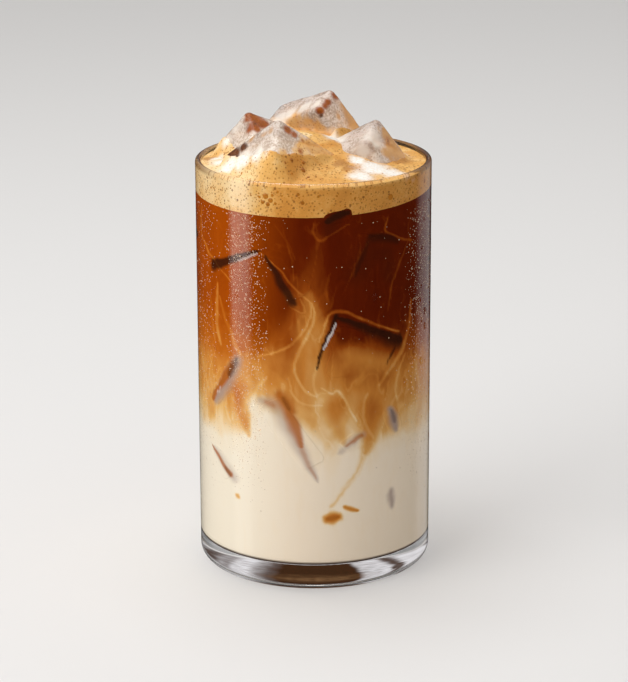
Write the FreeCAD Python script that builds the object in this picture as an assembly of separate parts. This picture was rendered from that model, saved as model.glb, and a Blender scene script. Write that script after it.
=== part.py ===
"""Iced latte in a straight-sided glass tumbler, in millimetres.

The tumbler is a plain cylinder with a thin wall, a fire-polished rim and a thick clear base whose
foot is rounded and whose underside is pushed up a little, so that it stands on a ring. It is filled
in layers: cold milk, coffee above it, and a head of coffee foam that is heaped round four ice cubes
and ends just under the rim. The cubes lean against each other, stand out of the foam and reach down
into the coffee. The layers meet face to face, and the coffee and the foam are cut round the cubes.

Origin: the middle of the ring that the glass stands on. +Z is up, and -Y is the front.
"""

import FreeCAD, Part

import math
import os

from FreeCAD import Placement, Rotation, Vector

# The glass. Its foot, its floor's corner and its rim are rounded.
GLASS_RADIUS = 38.0
GLASS_HEIGHT = 135.0
WALL = 2.0
BASE = 8.6
FOOT_ROUND = 4.5
FLOOR_ROUND = 2.5

# The underside: a shallow push-up inside the ring that the glass stands on.
STAND_RING = 3.5
PUSH_UP = 1.0
PUSH_UP_SLOPE = 2.5

# The milk: its depth, and the height and the two lengths of the waves on its upper face.
MILK_DEPTH = 44.0
MILK_WAVE = 3.0
MILK_WAVE_ACROSS = 82.0
MILK_WAVE_ALONG = 100.0

# The foam: its level at the wall, and its depth, which gets less to the right and to the back.
FOAM_BELOW_RIM = 1.4
FOAM_DEPTH = 7.6
FOAM_THINS_RIGHT = 0.024
FOAM_THINS_BACK = 0.05

# The foam's heaps round the ice: x, y, how much each one rises, and how far it spreads.
FOAM_HEAPS = (
    (-4.0, 3.0, 9.0, 12.0),
    (-9.0, -22.0, 4.0, 7.5),
    (14.0, -10.0, 2.0, 9.0),
)
HEAPS_FADE = 6

# Wavy faces are interpolated through a square grid of points that reaches past the glass's inside.
WAVE_POINTS = 17
WAVE_MARGIN = 1.5

# The ice cubes: three sizes, the middle as x, y and height from the rim, and the yaw, pitch and
# roll in degrees. A cube stops short of the glass and gives way to the cubes named before it.
ICE_ROUND = 2.2
ICE_TO_GLASS = 0.5
ICE_CUBES = {
    "ice_back": ((26.0, 18.0, 12.0), (0.7, 20.5, 4.1), (138.0, 21.0, -119.0)),
    "ice_left": ((17.5, 20.0, 14.7), (-17.1, 6.7, 0.6), (147.0, 47.0, -145.0)),
    "ice_front": ((27.0, 27.5, 16.0), (-10.2, -12.8, -2.7), (143.0, 34.0, -137.0)),
    "ice_right": ((20.8, 22.5, 15.0), (17.2, 0.2, -3.3), (151.0, 28.0, -113.0)),
}

# What follows from the sizes above.
INNER_RADIUS = GLASS_RADIUS - WALL
MILK_LEVEL = BASE + MILK_DEPTH
FOAM_LEVEL = GLASS_HEIGHT - FOAM_BELOW_RIM
COFFEE_LEVEL = FOAM_LEVEL - FOAM_DEPTH
ABOVE_ALL = GLASS_HEIGHT + 2 * GLASS_RADIUS


def straight(start, end):
    """A straight edge of a turned profile, between two (radius, height) pairs."""
    return Part.LineSegment(Vector(start[0], 0, start[1]), Vector(end[0], 0, end[1])).toShape()


def rounding(centre, radius, first, last):
    """A round edge of a turned profile, about a (radius, height) pair, from one angle to another."""
    spots = []
    for degrees in (first, (first + last) / 2, last):
        turn = math.radians(degrees)
        out = centre[0] + radius * math.cos(turn)
        up = centre[1] + radius * math.sin(turn)
        spots.append(Vector(out, 0, up))
    return Part.Arc(*spots).toShape()


def turned(edges):
    """The solid that a closed profile makes when it is turned about the Z axis."""
    face = Part.Face(Part.Wire(edges))
    return face.revolve(Vector(0, 0, 0), Vector(0, 0, 1), 360)


def inside_profile(top):
    """The edges of the glass's inside, from the middle of its floor out and up to a height."""
    corner = INNER_RADIUS - FLOOR_ROUND
    return [
        straight((0, BASE), (corner, BASE)),
        rounding((corner, BASE + FLOOR_ROUND), FLOOR_ROUND, -90, 0),
        straight((INNER_RADIUS, BASE + FLOOR_ROUND), (INNER_RADIUS, top)),
    ]


def make_glass():
    """The tumbler, turned from one closed profile."""
    rim_round = WALL / 2
    rim_start = GLASS_HEIGHT - rim_round
    ring_outside = GLASS_RADIUS - FOOT_ROUND
    ring_inside = ring_outside - STAND_RING
    dome = ring_inside - PUSH_UP_SLOPE
    outside = [
        rounding((INNER_RADIUS + rim_round, rim_start), rim_round, 180, 0),
        straight((GLASS_RADIUS, rim_start), (GLASS_RADIUS, FOOT_ROUND)),
        rounding((ring_outside, FOOT_ROUND), FOOT_ROUND, 0, -90),
        straight((ring_outside, 0), (ring_inside, 0)),
        straight((ring_inside, 0), (dome, PUSH_UP)),
        straight((dome, PUSH_UP), (0, PUSH_UP)),
        straight((0, PUSH_UP), (0, BASE)),
    ]
    return turned(inside_profile(rim_start) + outside)


def make_filling():
    """All that the glass's inside could hold if its wall went on far above the rim."""
    closing = [
        straight((INNER_RADIUS, ABOVE_ALL), (0, ABOVE_ALL)),
        straight((0, ABOVE_ALL), (0, BASE)),
    ]
    return turned(inside_profile(ABOVE_ALL) + closing)


def milk_face(x, y):
    """How high the milk reaches: two waves that cross, as the poured coffee leaves it."""
    across = math.cos(2 * math.pi * x / MILK_WAVE_ACROSS)
    along = math.sin(2 * math.pi * (x + y) / MILK_WAVE_ALONG)
    return MILK_LEVEL + MILK_WAVE * (across + along) / 2


def coffee_face(x, y):
    """How high the coffee reaches: it leans a little, and the foam above it fills the rest."""
    return COFFEE_LEVEL + FOAM_THINS_RIGHT * x + FOAM_THINS_BACK * y


def foam_face(x, y):
    """How high the foam reaches: its heaps rise round the ice and fade out towards the wall."""
    heaped = 0.0
    for middle_x, middle_y, rise, spread in FOAM_HEAPS:
        away = math.hypot(x - middle_x, y - middle_y) / spread
        heaped += rise * math.exp(-away * away / 2)
    outward = min(1.0, math.hypot(x, y) / INNER_RADIUS)
    return FOAM_LEVEL + heaped * (1 - outward**HEAPS_FADE)


def space_above(height_at):
    """The solid above a wavy face, which reaches past the glass's inside on every side."""
    reach = INNER_RADIUS + WAVE_MARGIN
    places = [reach * (2 * step / (WAVE_POINTS - 1) - 1) for step in range(WAVE_POINTS)]
    face = Part.BSplineSurface()
    face.interpolate([[Vector(x, y, height_at(x, y)) for y in places] for x in places])
    return face.toShape().extrude(Vector(0, 0, ABOVE_ALL))


def make_cube(sizes, middle, turn):
    """One ice cube: a box with its edges and corners rounded, turned and set at its middle."""
    cube = Part.makeBox(*sizes, Vector(*[-size / 2 for size in sizes]))
    cube = cube.makeFillet(ICE_ROUND, cube.Edges)
    cube.Placement = Placement(Vector(*middle) + Vector(0, 0, GLASS_HEIGHT), Rotation(*turn))
    return cube


def make_ice():
    """Every ice cube, kept clear of the glass and of the cubes that come before it."""
    room = Part.makeCylinder(INNER_RADIUS - ICE_TO_GLASS, ABOVE_ALL)
    cubes = {}
    for name, placing in ICE_CUBES.items():
        cube = make_cube(*placing).common(room)
        for earlier in cubes.values():
            cube = cube.cut(earlier)
        cubes[name] = cube
    return cubes


def make_layers(cubes):
    """The milk, the coffee and the foam, which meet face to face, cut round the ice cubes."""
    filling = make_filling()
    above_milk = space_above(milk_face)
    above_coffee = space_above(coffee_face)
    above_foam = space_above(foam_face)
    return {
        "milk": filling.cut(above_milk),
        "coffee": filling.common(above_milk).cut(above_coffee).cut(cubes),
        "foam": filling.common(above_coffee).cut(above_foam).cut(cubes),
    }


def main():
    """Builds every piece and writes each one to its own STEP file."""
    os.makedirs("parts", exist_ok=True)
    ice = make_ice()
    pieces = {"glass": make_glass(), **make_layers(list(ice.values())), **ice}
    for name, shape in pieces.items():
        shape.exportStep(f"parts/{name}.step")


main()
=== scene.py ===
"""Iced latte in a straight glass tumbler: its looks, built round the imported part.

The tumbler is a clear turned glass. Inside it, skins that reach just into its wall stand for the
milk, the coffee and the foam, and one painter puts the swirls where milk and coffee meet, and the
ice that shows through the glass, on all of them. Four rough ice cubes stand out of the foam, which
is draped over them. Smaller cubes are sunk in the drink, and bubbles, beads and drops finish it.

Lengths in the classes are millimetres, and angles are degrees from the front, to the right.
"""

import logging
import math
from collections.abc import Callable
from dataclasses import dataclass
from enum import Enum
from itertools import product

import bpy
import numpy as np
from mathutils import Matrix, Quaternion, Vector


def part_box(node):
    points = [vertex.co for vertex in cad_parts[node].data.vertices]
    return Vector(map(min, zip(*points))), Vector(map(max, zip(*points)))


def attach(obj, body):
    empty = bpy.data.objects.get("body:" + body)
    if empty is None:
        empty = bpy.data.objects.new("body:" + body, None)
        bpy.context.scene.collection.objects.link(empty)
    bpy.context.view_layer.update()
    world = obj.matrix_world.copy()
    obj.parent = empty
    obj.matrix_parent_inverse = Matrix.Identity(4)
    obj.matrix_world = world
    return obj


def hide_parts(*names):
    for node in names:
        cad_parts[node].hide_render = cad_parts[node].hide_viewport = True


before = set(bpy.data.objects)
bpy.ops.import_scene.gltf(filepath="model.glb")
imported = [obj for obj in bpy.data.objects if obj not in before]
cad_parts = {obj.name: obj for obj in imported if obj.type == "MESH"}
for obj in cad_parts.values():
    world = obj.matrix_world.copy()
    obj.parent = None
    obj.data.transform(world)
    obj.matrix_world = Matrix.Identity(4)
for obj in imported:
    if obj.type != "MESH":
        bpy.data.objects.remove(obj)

LOG = logging.getLogger("iced_latte")
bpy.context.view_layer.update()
MM = 0.001
TURN = 360.0

# How far what fills the glass reaches into its wall, and the sunk ice beyond that.
SKIN_REACH = 0.2
ICE_REACH = 0.1

# A node's output, and what an input can be given.
Output = bpy.types.NodeSocket
Value = Output | float | tuple | None


# ---------------------------------------------------------------- small sums that pieces share


class Noise:
    """Smooth noise in space, between -1 and 1, from a seeded lattice of values."""

    SIDE = 32

    def __init__(self, seed: int) -> None:
        """Fills the lattice from one seed."""
        self.lattice = np.random.default_rng(seed).uniform(-1, 1, (self.SIDE,) * 3)

    def at(self, places: np.ndarray) -> np.ndarray:
        """The noise at each place: the eight lattice values round it, blended by smooth steps.

        Args:
            places: any number of rows of three coordinates, one lattice cell being 1 long.

        Returns:
            One value for each row.
        """
        low = np.floor(places).astype(int)
        part = places - low
        eased = part * part * (3 - 2 * part)
        total = np.zeros(places.shape[:-1])
        for corner in product((0, 1), repeat=3):
            weight = np.prod(np.where(corner, eased, 1 - eased), axis=-1)
            spot = (low + corner) % self.SIDE
            total += weight * self.lattice[spot[..., 0], spot[..., 1], spot[..., 2]]
        return total

    def layered(self, places: np.ndarray, layers: int = 4) -> np.ndarray:
        """Noise with finer noise on top: each layer has half the size and half the strength.

        Args:
            places: rows of three coordinates, one cell of the coarsest layer being 1 long.
            layers: how many layers are added up.

        Returns:
            One value for each row.
        """
        shifts = [7.31 * layer for layer in range(layers)]
        return sum(self.at(places * 2**k + shift) / 2**k for k, shift in enumerate(shifts))


def eased_step(value: np.ndarray, low: float, high: float) -> np.ndarray:
    """A smooth step: 0 up to low, 1 from high on, and a soft S between."""
    part = np.clip((value - low) / (high - low), 0, 1)
    return part * part * (3 - 2 * part)


def wall_place(angle: np.ndarray, height: np.ndarray, radius: np.ndarray) -> np.ndarray:
    """Places on a round wall: x is radius times sine, and y is minus radius times cosine.

    Args:
        angle: degrees from the front, to the right.
        height: height above the stand.
        radius: distance from the axis.

    Returns:
        Rows of x, y and z.
    """
    turn, height, radius = np.broadcast_arrays(np.radians(angle), height, radius)
    return np.stack([radius * np.sin(turn), -radius * np.cos(turn), height], axis=-1)


def nearest_turn(angle: np.ndarray) -> np.ndarray:
    """The same angle brought between -180 and 180 degrees."""
    return (angle + TURN / 2) % TURN - TURN / 2


def arc(centre: tuple, radius: float, first: float, last: float, steps: int) -> np.ndarray:
    """A round stretch of a profile: centre plus radius times cosine and sine of the angle.

    Args:
        centre: distance from the axis and height of the arc's centre.
        radius: the arc's radius.
        first: angle where it starts, from the outward direction towards up.
        last: angle where it ends.
        steps: how many pieces it is cut into.

    Returns:
        Rows of distance from the axis and height.
    """
    turn = np.radians(np.linspace(first, last, steps + 1))
    return np.stack([centre[0] + radius * np.cos(turn), centre[1] + radius * np.sin(turn)], -1)


def turning(yaw: float, pitch: float, roll: float) -> np.ndarray:
    """The matrix that rolls about X, then pitches about Y, then yaws about Z.

    Args:
        yaw: degrees about Z.
        pitch: degrees about Y.
        roll: degrees about X.

    Returns:
        Three rows of three.
    """
    a, b, c = np.radians([yaw, pitch, roll])
    about_z = np.array([[np.cos(a), -np.sin(a), 0], [np.sin(a), np.cos(a), 0], [0, 0, 1]])
    about_y = np.array([[np.cos(b), 0, np.sin(b)], [0, 1, 0], [-np.sin(b), 0, np.cos(b)]])
    about_x = np.array([[1, 0, 0], [0, np.cos(c), -np.sin(c)], [0, np.sin(c), np.cos(c)]])
    return about_z @ about_y @ about_x


# ---------------------------------------------------------------- meshes


@dataclass
class Shell:
    """Points and faces of a closed surface, before it becomes a mesh.

    Attributes:
        points: rows of x, y and z in millimetres.
        faces: arrays of corner numbers, one array for each number of corners.
    """

    points: np.ndarray
    faces: list[np.ndarray]

    @classmethod
    def turned(cls, rings: np.ndarray) -> "Shell":
        """A closed surface from rings of points that start and end at a pole.

        Args:
            rings: ring after ring of points, counter-clockwise from above, from the pole that
                comes first to the other. The first and the last ring shrink to their middle.

        Returns:
            The surface, with its faces outwards if the rings run out, down and in.
        """
        count, around = rings.shape[:2]
        body = rings[1:-1].reshape(-1, 3)
        poles = np.stack([rings[0].mean(axis=0), rings[-1].mean(axis=0)])
        here = np.arange(around)
        ahead = (here + 1) % around
        first = (np.arange(count - 3) * around)[:, None]
        quads = np.stack(
            [first + here, first + around + here, first + around + ahead, first + ahead], -1
        )
        last = (count - 3) * around
        start_pole = np.full(around, len(body))
        top = np.stack([start_pole, here, ahead], -1)
        bottom = np.stack([last + here, start_pole + 1, last + ahead], -1)
        return cls(np.concatenate([body, poles]), [quads.reshape(-1, 4), top, bottom])

    @classmethod
    def rounded_box(cls, size: tuple, rounding: float, cell: float) -> "Shell":
        """A box of six grids with round edges: each point is its place in a smaller box, plus
        the rounding in the direction from there to its place on the sharp box.

        Args:
            size: length, width and height.
            rounding: radius of the edges and corners.
            cell: the longest side of a grid cell.

        Returns:
            The box round the origin, with the grids' seams merged.
        """
        half = np.array(size) / 2
        steps = np.ceil(2 * half / cell).astype(int)
        points, quads, used = [], [], 0
        for axis, side in product(range(3), (-1, 1)):
            along, across = (axis + 1) % 3, (axis + 2) % 3
            rows, columns = steps[along] + 1, steps[across] + 1
            spots = np.full((rows, columns, 3), float(side))
            spots[..., along] = np.linspace(-1, 1, rows)[:, None]
            spots[..., across] = np.linspace(-1, 1, columns)
            number = used + np.arange(rows * columns).reshape(rows, columns)
            corners = [number[:-1, :-1], number[1:, :-1], number[1:, 1:], number[:-1, 1:]]
            quads.append(np.stack(corners[::side], -1).reshape(-1, 4))
            points.append((spots * half).reshape(-1, 3))
            used += rows * columns
        sharp = np.concatenate(points)
        _, kept, merged = np.unique(
            np.round(sharp, 4), axis=0, return_index=True, return_inverse=True
        )
        sharp = sharp[kept]
        inner = np.clip(sharp, rounding - half, half - rounding)
        away = sharp - inner
        away /= np.linalg.norm(away, axis=1, keepdims=True)
        return cls(inner + rounding * away, [merged.reshape(-1)[np.concatenate(quads)]])

    @classmethod
    def joined(cls, shells: list["Shell"]) -> "Shell":
        """Several closed surfaces as one.

        Args:
            shells: the surfaces.

        Returns:
            One surface.
        """
        shifts = np.cumsum([0] + [len(shell.points) for shell in shells])
        faces = [
            array + shift
            for shell, shift in zip(shells, shifts, strict=False)
            for array in shell.faces
        ]
        return cls(np.concatenate([shell.points for shell in shells]), faces)

    def normals(self) -> np.ndarray:
        """The outward direction at each point, averaged over the faces that meet there.

        Returns:
            Rows of x, y and z, each 1 long.
        """
        total = np.zeros_like(self.points)
        for array in self.faces:
            corners = self.points[array]
            across = np.cross(corners[:, 2] - corners[:, 0], corners[:, -1] - corners[:, 1])
            if array.shape[1] == 3:
                across = np.cross(corners[:, 1] - corners[:, 0], corners[:, 2] - corners[:, 0])
            for column in array.T:
                np.add.at(total, column, across)
        return total / np.maximum(np.linalg.norm(total, axis=1, keepdims=True), 1e-12)

    def piece(
        self, name: str, material: bpy.types.Material, crease: float = 40.0, **paint: np.ndarray
    ) -> bpy.types.Object:
        """The surface as a Blender object in metres, at the origin.

        Args:
            name: the piece's name.
            material: its finish.
            crease: faces that meet at more than this many degrees keep a sharp edge.
            **paint: point attributes by name, one value or four for each point.

        Returns:
            The new object, which rides on the part.
        """
        mesh = bpy.data.meshes.new(name)
        sides = np.concatenate([np.full(len(a), a.shape[1]) for a in self.faces])
        corners = np.concatenate([a.reshape(-1) for a in self.faces])
        mesh.vertices.add(len(self.points))
        mesh.vertices.foreach_set("co", (self.points * MM).astype(np.float32).ravel())
        mesh.loops.add(len(corners))
        mesh.loops.foreach_set("vertex_index", corners.astype(np.int32))
        mesh.polygons.add(len(sides))
        starts = np.concatenate([[0], np.cumsum(sides)[:-1]]).astype(np.int32)
        mesh.polygons.foreach_set("loop_start", starts)
        mesh.update(calc_edges=True)
        for label, values in paint.items():
            coloured = values.ndim == 2
            kind = "FLOAT_COLOR" if coloured else "FLOAT"
            layer = mesh.attributes.new(label, kind, "POINT")
            layer.data.foreach_set(
                "color" if coloured else "value", values.astype(np.float32).ravel()
            )
        mesh.shade_smooth()
        mesh.set_sharp_from_angle(angle=math.radians(crease))
        mesh.materials.append(material)
        made = bpy.data.objects.new(name, mesh)
        bpy.context.scene.collection.objects.link(made)
        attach(made, "root")
        LOG.info("%s: %d triangles", name, int((sides - 2).sum()))
        return made


def domes(
    places: np.ndarray,
    outward: np.ndarray,
    radii: np.ndarray,
    rise: np.ndarray,
    stretch: np.ndarray,
    around: int,
    rings: int,
    sunk: float,
) -> Shell:
    """Many round caps on a surface: across, each ring is radius times cosine, and out from the
    surface it is rise times sine, of an angle that goes from the foot to the top. Downwards the
    cap is longer by its stretch. A flat face closes it a little under the surface.

    Args:
        places: where each cap stands.
        outward: the surface's outward direction there.
        radii: each cap's radius.
        rise: each cap's height over its radius.
        stretch: each cap's extra length downwards, over its radius.
        around: points round each ring.
        rings: rings from the foot to the top.
        sunk: how far the flat face lies under the surface.

    Returns:
        All the caps as one surface.
    """
    lift = np.radians(np.linspace(0, 90, rings + 1))[:-1]
    turn = np.linspace(0, 2 * np.pi, around, endpoint=False)
    side = np.cross([0.0, 0.0, 1.0], outward)
    flat = np.linalg.norm(side, axis=1, keepdims=True) < 1e-6
    side = np.where(flat, [1.0, 0.0, 0.0], side)
    side /= np.linalg.norm(side, axis=1, keepdims=True)
    up = np.cross(outward, side)
    ring_wide = np.cos(lift)[:, None]
    ring_high = np.broadcast_to(np.sin(lift)[:, None], (rings, around))
    across = ring_wide * np.cos(turn)
    along = ring_wide * np.sin(turn)
    shape = np.stack([across, along, ring_high], -1)
    count = len(places)
    long = np.where(shape[..., 1] < 0, 1 + stretch[:, None, None], 1 + 0.15 * stretch[:, None, None])
    reach = radii[:, None, None, None]
    body = places[:, None, None] + reach * (
        shape[..., 0][None, ..., None] * side[:, None, None]
        + (shape[..., 1] * long)[..., None] * up[:, None, None]
        + (shape[..., 2] * rise[:, None, None])[..., None] * outward[:, None, None]
    )
    under = body[:, :1] - sunk * outward[:, None, None]
    rows = np.concatenate([under, body], axis=1)
    top = places + (radii * rise)[:, None] * outward
    bottom = rows[:, 0].mean(axis=1)
    per_cap = (rings + 1) * around + 2
    points = np.concatenate([rows.reshape(count, -1, 3), top[:, None], bottom[:, None]], axis=1)
    here = np.arange(around)
    ahead = (here + 1) % around
    first = (np.arange(rings) * around)[:, None]
    quads = np.stack(
        [first + here, first + ahead, first + around + ahead, first + around + here], -1
    ).reshape(-1, 4)
    last = rings * around
    apex = np.full(around, per_cap - 2)
    caps = np.stack([last + here, last + ahead, apex], -1)
    floors = np.stack([ahead, here, apex + 1], -1)
    shift = (np.arange(count) * per_cap)[:, None, None]
    faces = [(part[None] + shift).reshape(-1, part.shape[1]) for part in (quads, caps, floors)]
    return Shell(points.reshape(-1, 3), faces)


# ---------------------------------------------------------------- finishes


class Recipe:
    """A node tree being filled, with short ways to add the nodes that the finishes use."""

    def __init__(self, tree: bpy.types.NodeTree) -> None:
        """Keeps the tree."""
        self.tree = tree

    def add(self, kind: str, **settings: object) -> bpy.types.Node:
        """A new node.

        Args:
            kind: the node's kind.
            **settings: its properties by name.

        Returns:
            The node.
        """
        node = self.tree.nodes.new(kind)
        for name, value in settings.items():
            setattr(node, name, value)
        return node

    def feed(self, socket: bpy.types.NodeSocket, value: Value) -> None:
        """Links an output to an input, or sets the input's own value.

        Args:
            socket: the input.
            value: an output, a number or a colour, or None to leave the input as it is.
        """
        if isinstance(value, bpy.types.NodeSocket):
            self.tree.links.new(value, socket)
        elif value is not None:
            socket.default_value = value

    def maths(self, operation: str, first: Value, second: Value = None, kept: bool = True) -> Output:
        """One sum of one or two values.

        Args:
            operation: the kind of sum.
            first: its first value.
            second: its second value.
            kept: whether the result is kept between 0 and 1.

        Returns:
            The result's socket.
        """
        node = self.add("ShaderNodeMath", operation=operation, use_clamp=kept)
        self.feed(node.inputs[0], first)
        self.feed(node.inputs[1], second)
        return node.outputs[0]

    def mixed(self, share: Value, low: Value, high: Value) -> Output:
        """A colour between two colours.

        Args:
            share: how much of the second colour there is.
            low: the first colour.
            high: the second colour.

        Returns:
            The colour's socket.
        """
        node = self.add("ShaderNodeMix", data_type="RGBA")
        self.feed(node.inputs["Factor"], share)
        self.feed(node.inputs[6], low)
        self.feed(node.inputs[7], high)
        return node.outputs[2]

    def ramp(self, share: Value, stops: tuple) -> Output:
        """A colour for each value.

        Args:
            share: the value.
            stops: a place and a colour for each stop.

        Returns:
            The colour's socket.
        """
        node = self.add("ShaderNodeValToRGB")
        band = node.color_ramp
        for number, (place, colour) in enumerate(stops):
            stop = band.elements[number] if number < 2 else band.elements.new(place)
            stop.position = place
            stop.color = colour
        self.feed(node.inputs[0], share)
        return node.outputs["Color"]

    def span(
        self, value: Value, low: Value, high: Value, to_low: float = 0.0, to_high: float = 1.0
    ) -> Output:
        """A value carried from one range to another, by a soft S, and kept in it.

        Args:
            value: the value.
            low: the first range's start.
            high: the first range's end.
            to_low: the second range's start.
            to_high: the second range's end.

        Returns:
            The new value's socket.
        """
        node = self.add("ShaderNodeMapRange", interpolation_type="SMOOTHSTEP")
        for number, given in enumerate((value, low, high, to_low, to_high)):
            self.feed(node.inputs[number], given)
        return node.outputs[0]

    def places(self, stretch: tuple = (1.0, 1.0, 1.0)) -> Output:
        """The piece's own coordinates in metres.

        Args:
            stretch: what each one is multiplied by.

        Returns:
            Their socket.
        """
        node = self.add("ShaderNodeMapping")
        self.feed(node.inputs["Vector"], self.add("ShaderNodeTexCoord").outputs["Object"])
        self.feed(node.inputs["Scale"], stretch)
        return node.outputs[0]

    def noise(self, places: Output, scale: float, detail: float = 3.0, warp: float = 0.0) -> Output:
        """Cloudy noise.

        Args:
            places: where it is read.
            scale: cells to the metre.
            detail: how many finer layers it has.
            warp: how much it is bent.

        Returns:
            The noise's socket.
        """
        node = self.add("ShaderNodeTexNoise")
        self.feed(node.inputs["Vector"], places)
        for name, value in (("Scale", scale), ("Detail", detail), ("Distortion", warp)):
            self.feed(node.inputs[name], value)
        return node.outputs["Fac"]

    def painted(self, name: str) -> bpy.types.Node:
        """The node that reads one of the piece's painted attributes."""
        return self.add("ShaderNodeAttribute", attribute_name=name)

    def split(self, colour: Output) -> bpy.types.NodeOutputs:
        """The three channels of a colour.

        Args:
            colour: the colour.

        Returns:
            A socket for each channel.
        """
        node = self.add("ShaderNodeSeparateColor")
        self.feed(node.inputs[0], colour)
        return node.outputs

    def bump(self, height: Output, strength: float, distance: float) -> Output:
        """A normal bent by a height.

        Args:
            height: the height.
            strength: how much of the bump shows.
            distance: how high it is, in metres.

        Returns:
            The normal's socket.
        """
        node = self.add("ShaderNodeBump")
        for name, value in (("Strength", strength), ("Distance", distance), ("Height", height)):
            self.feed(node.inputs[name], value)
        return node.outputs[0]

    def use(self, group: bpy.types.NodeTree, **values: Value) -> bpy.types.NodeOutputs:
        """A shared effect placed in this tree.

        Args:
            group: the effect.
            **values: its inputs by name.

        Returns:
            Its outputs.
        """
        node = self.add("ShaderNodeGroup", node_tree=group)
        for name, value in values.items():
            self.feed(node.inputs[name], value)
        return node.outputs


def effect(name: str, inputs: dict, outputs: dict) -> tuple[bpy.types.NodeTree, Recipe, tuple]:
    """A new shared effect: a node group with named inputs and outputs.

    Args:
        name: the group's name.
        inputs: socket kind and first value for each input's name.
        outputs: socket kind for each output's name.

    Returns:
        The group, the recipe that fills it, and its input and output nodes.
    """
    tree = bpy.data.node_groups.new(name, "ShaderNodeTree")
    for label, (kind, value) in inputs.items():
        socket = tree.interface.new_socket(label, in_out="INPUT", socket_type=kind)
        socket.default_value = value
    for label, kind in outputs.items():
        tree.interface.new_socket(label, in_out="OUTPUT", socket_type=kind)
    recipe = Recipe(tree)
    ends = recipe.add("NodeGroupInput"), recipe.add("NodeGroupOutput")
    return tree, recipe, ends


class Effects:
    """The effects that more than one finish uses, each one built once."""

    def __init__(self) -> None:
        """Builds the groups."""
        self.froth = self.make_froth()
        self.wisps = self.make_wisps()

    def make_froth(self) -> bpy.types.NodeTree:
        """Small open bubbles: the middles of random cells, where the cell's own number is low.

        Returns:
            The group, which gives a share of bubble.
        """
        inputs = {
            "Places": ("NodeSocketVector", (0.0, 0.0, 0.0)),
            "Cells": ("NodeSocketFloat", 600.0),
            "Size": ("NodeSocketFloat", 0.3),
            "Share": ("NodeSocketFloat", 0.5),
        }
        tree, recipe, (given, made) = effect("froth", inputs, {"Dots": "NodeSocketFloat"})
        cells = recipe.add("ShaderNodeTexVoronoi")
        recipe.feed(cells.inputs["Vector"], given.outputs["Places"])
        recipe.feed(cells.inputs["Scale"], given.outputs["Cells"])
        chance = recipe.split(cells.outputs["Color"])
        size = recipe.maths("MULTIPLY", given.outputs["Size"], chance[1])
        core = recipe.maths("MULTIPLY", size, 0.55)
        inside = recipe.span(cells.outputs["Distance"], core, size, 1.0, 0.0)
        chosen = recipe.maths("LESS_THAN", chance[0], given.outputs["Share"])
        dots = recipe.maths("MULTIPLY", inside, chosen)
        recipe.feed(made.inputs["Dots"], dots)
        return tree

    def make_wisps(self) -> bpy.types.NodeTree:
        """Fine upright wisps: noise stretched up and down, and bent by its own coarser noise.

        Returns:
            The group, which gives the share with wisps added.
        """
        inputs = {"Amount": ("NodeSocketFloat", 0.1), "Share": ("NodeSocketFloat", 0.5)}
        tree, recipe, (given, made) = effect("wisps", inputs, {"Share": "NodeSocketFloat"})
        places = recipe.places((1.0, 1.0, 0.3))
        wisp = recipe.noise(places, 330.0, detail=4.0, warp=1.4)
        centred = recipe.maths("SUBTRACT", wisp, 0.5, kept=False)
        scaled = recipe.maths("MULTIPLY", centred, given.outputs["Amount"], kept=False)
        share = recipe.maths("ADD", given.outputs["Share"], scaled)
        recipe.feed(made.inputs["Share"], share)
        return tree


def finish_tree(name: str) -> tuple[bpy.types.Material, Recipe, bpy.types.Node]:
    """A new material with one Principled shader.

    Args:
        name: the material's name.

    Returns:
        The material, the recipe for its nodes, and the shader.
    """
    made = bpy.data.materials.new(name)
    made.use_nodes = True
    return made, Recipe(made.node_tree), made.node_tree.nodes["Principled BSDF"]


def let_light_through(recipe: Recipe, shader: bpy.types.Node) -> None:
    """Lamps and soft light pass the clear shader straight, so that they reach what it holds.

    Args:
        recipe: the material's nodes.
        shader: its clear shader.
    """
    path = recipe.add("ShaderNodeLightPath")
    soft = recipe.maths("MAXIMUM", path.outputs["Is Shadow Ray"], path.outputs["Is Diffuse Ray"])
    mix = recipe.add("ShaderNodeMixShader")
    recipe.feed(mix.inputs[0], soft)
    recipe.feed(mix.inputs[1], shader.outputs[0])
    recipe.feed(mix.inputs[2], recipe.add("ShaderNodeBsdfTransparent").outputs[0])
    recipe.feed(recipe.tree.nodes["Material Output"].inputs["Surface"], mix.outputs[0])


@dataclass(frozen=True)
class ClearFinish:
    """Clear glass or clear water.

    Attributes:
        name: the material's name.
        tint: the colour that passes.
        bending: index of refraction.
        roughness: 0 for polished.
        clearness: the share of light that passes instead of being scattered.
        wave: strength of a faint unevenness.
    """

    name: str
    tint: tuple
    bending: float
    roughness: float = 0.0
    clearness: float = 1.0
    wave: float = 0.02

    # Painted shade: the dark colour that the rim's left and right sides take, by the shade attribute.
    EDGE = (0.220, 0.150, 0.110, 1.0)

    def material(self) -> bpy.types.Material:
        """The finish as a Blender material.

        Returns:
            The material.
        """
        made, recipe, shader = finish_tree(self.name)
        cloud = recipe.noise(recipe.places(), 55.0, detail=2.0)
        darker = tuple(0.985 * part for part in self.tint[:3]) + (1.0,)
        colour = recipe.mixed(cloud, self.tint, darker)
        # painted shade at the rim's left and right sides
        colour = recipe.mixed(recipe.painted("shade").outputs["Fac"], colour, self.EDGE)
        recipe.feed(shader.inputs["Base Color"], colour)
        shader.inputs["Roughness"].default_value = self.roughness
        shader.inputs["IOR"].default_value = self.bending
        shader.inputs["Transmission Weight"].default_value = self.clearness
        recipe.feed(shader.inputs["Normal"], recipe.bump(cloud, self.wave, 0.001))
        let_light_through(recipe, shader)
        return made


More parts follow.
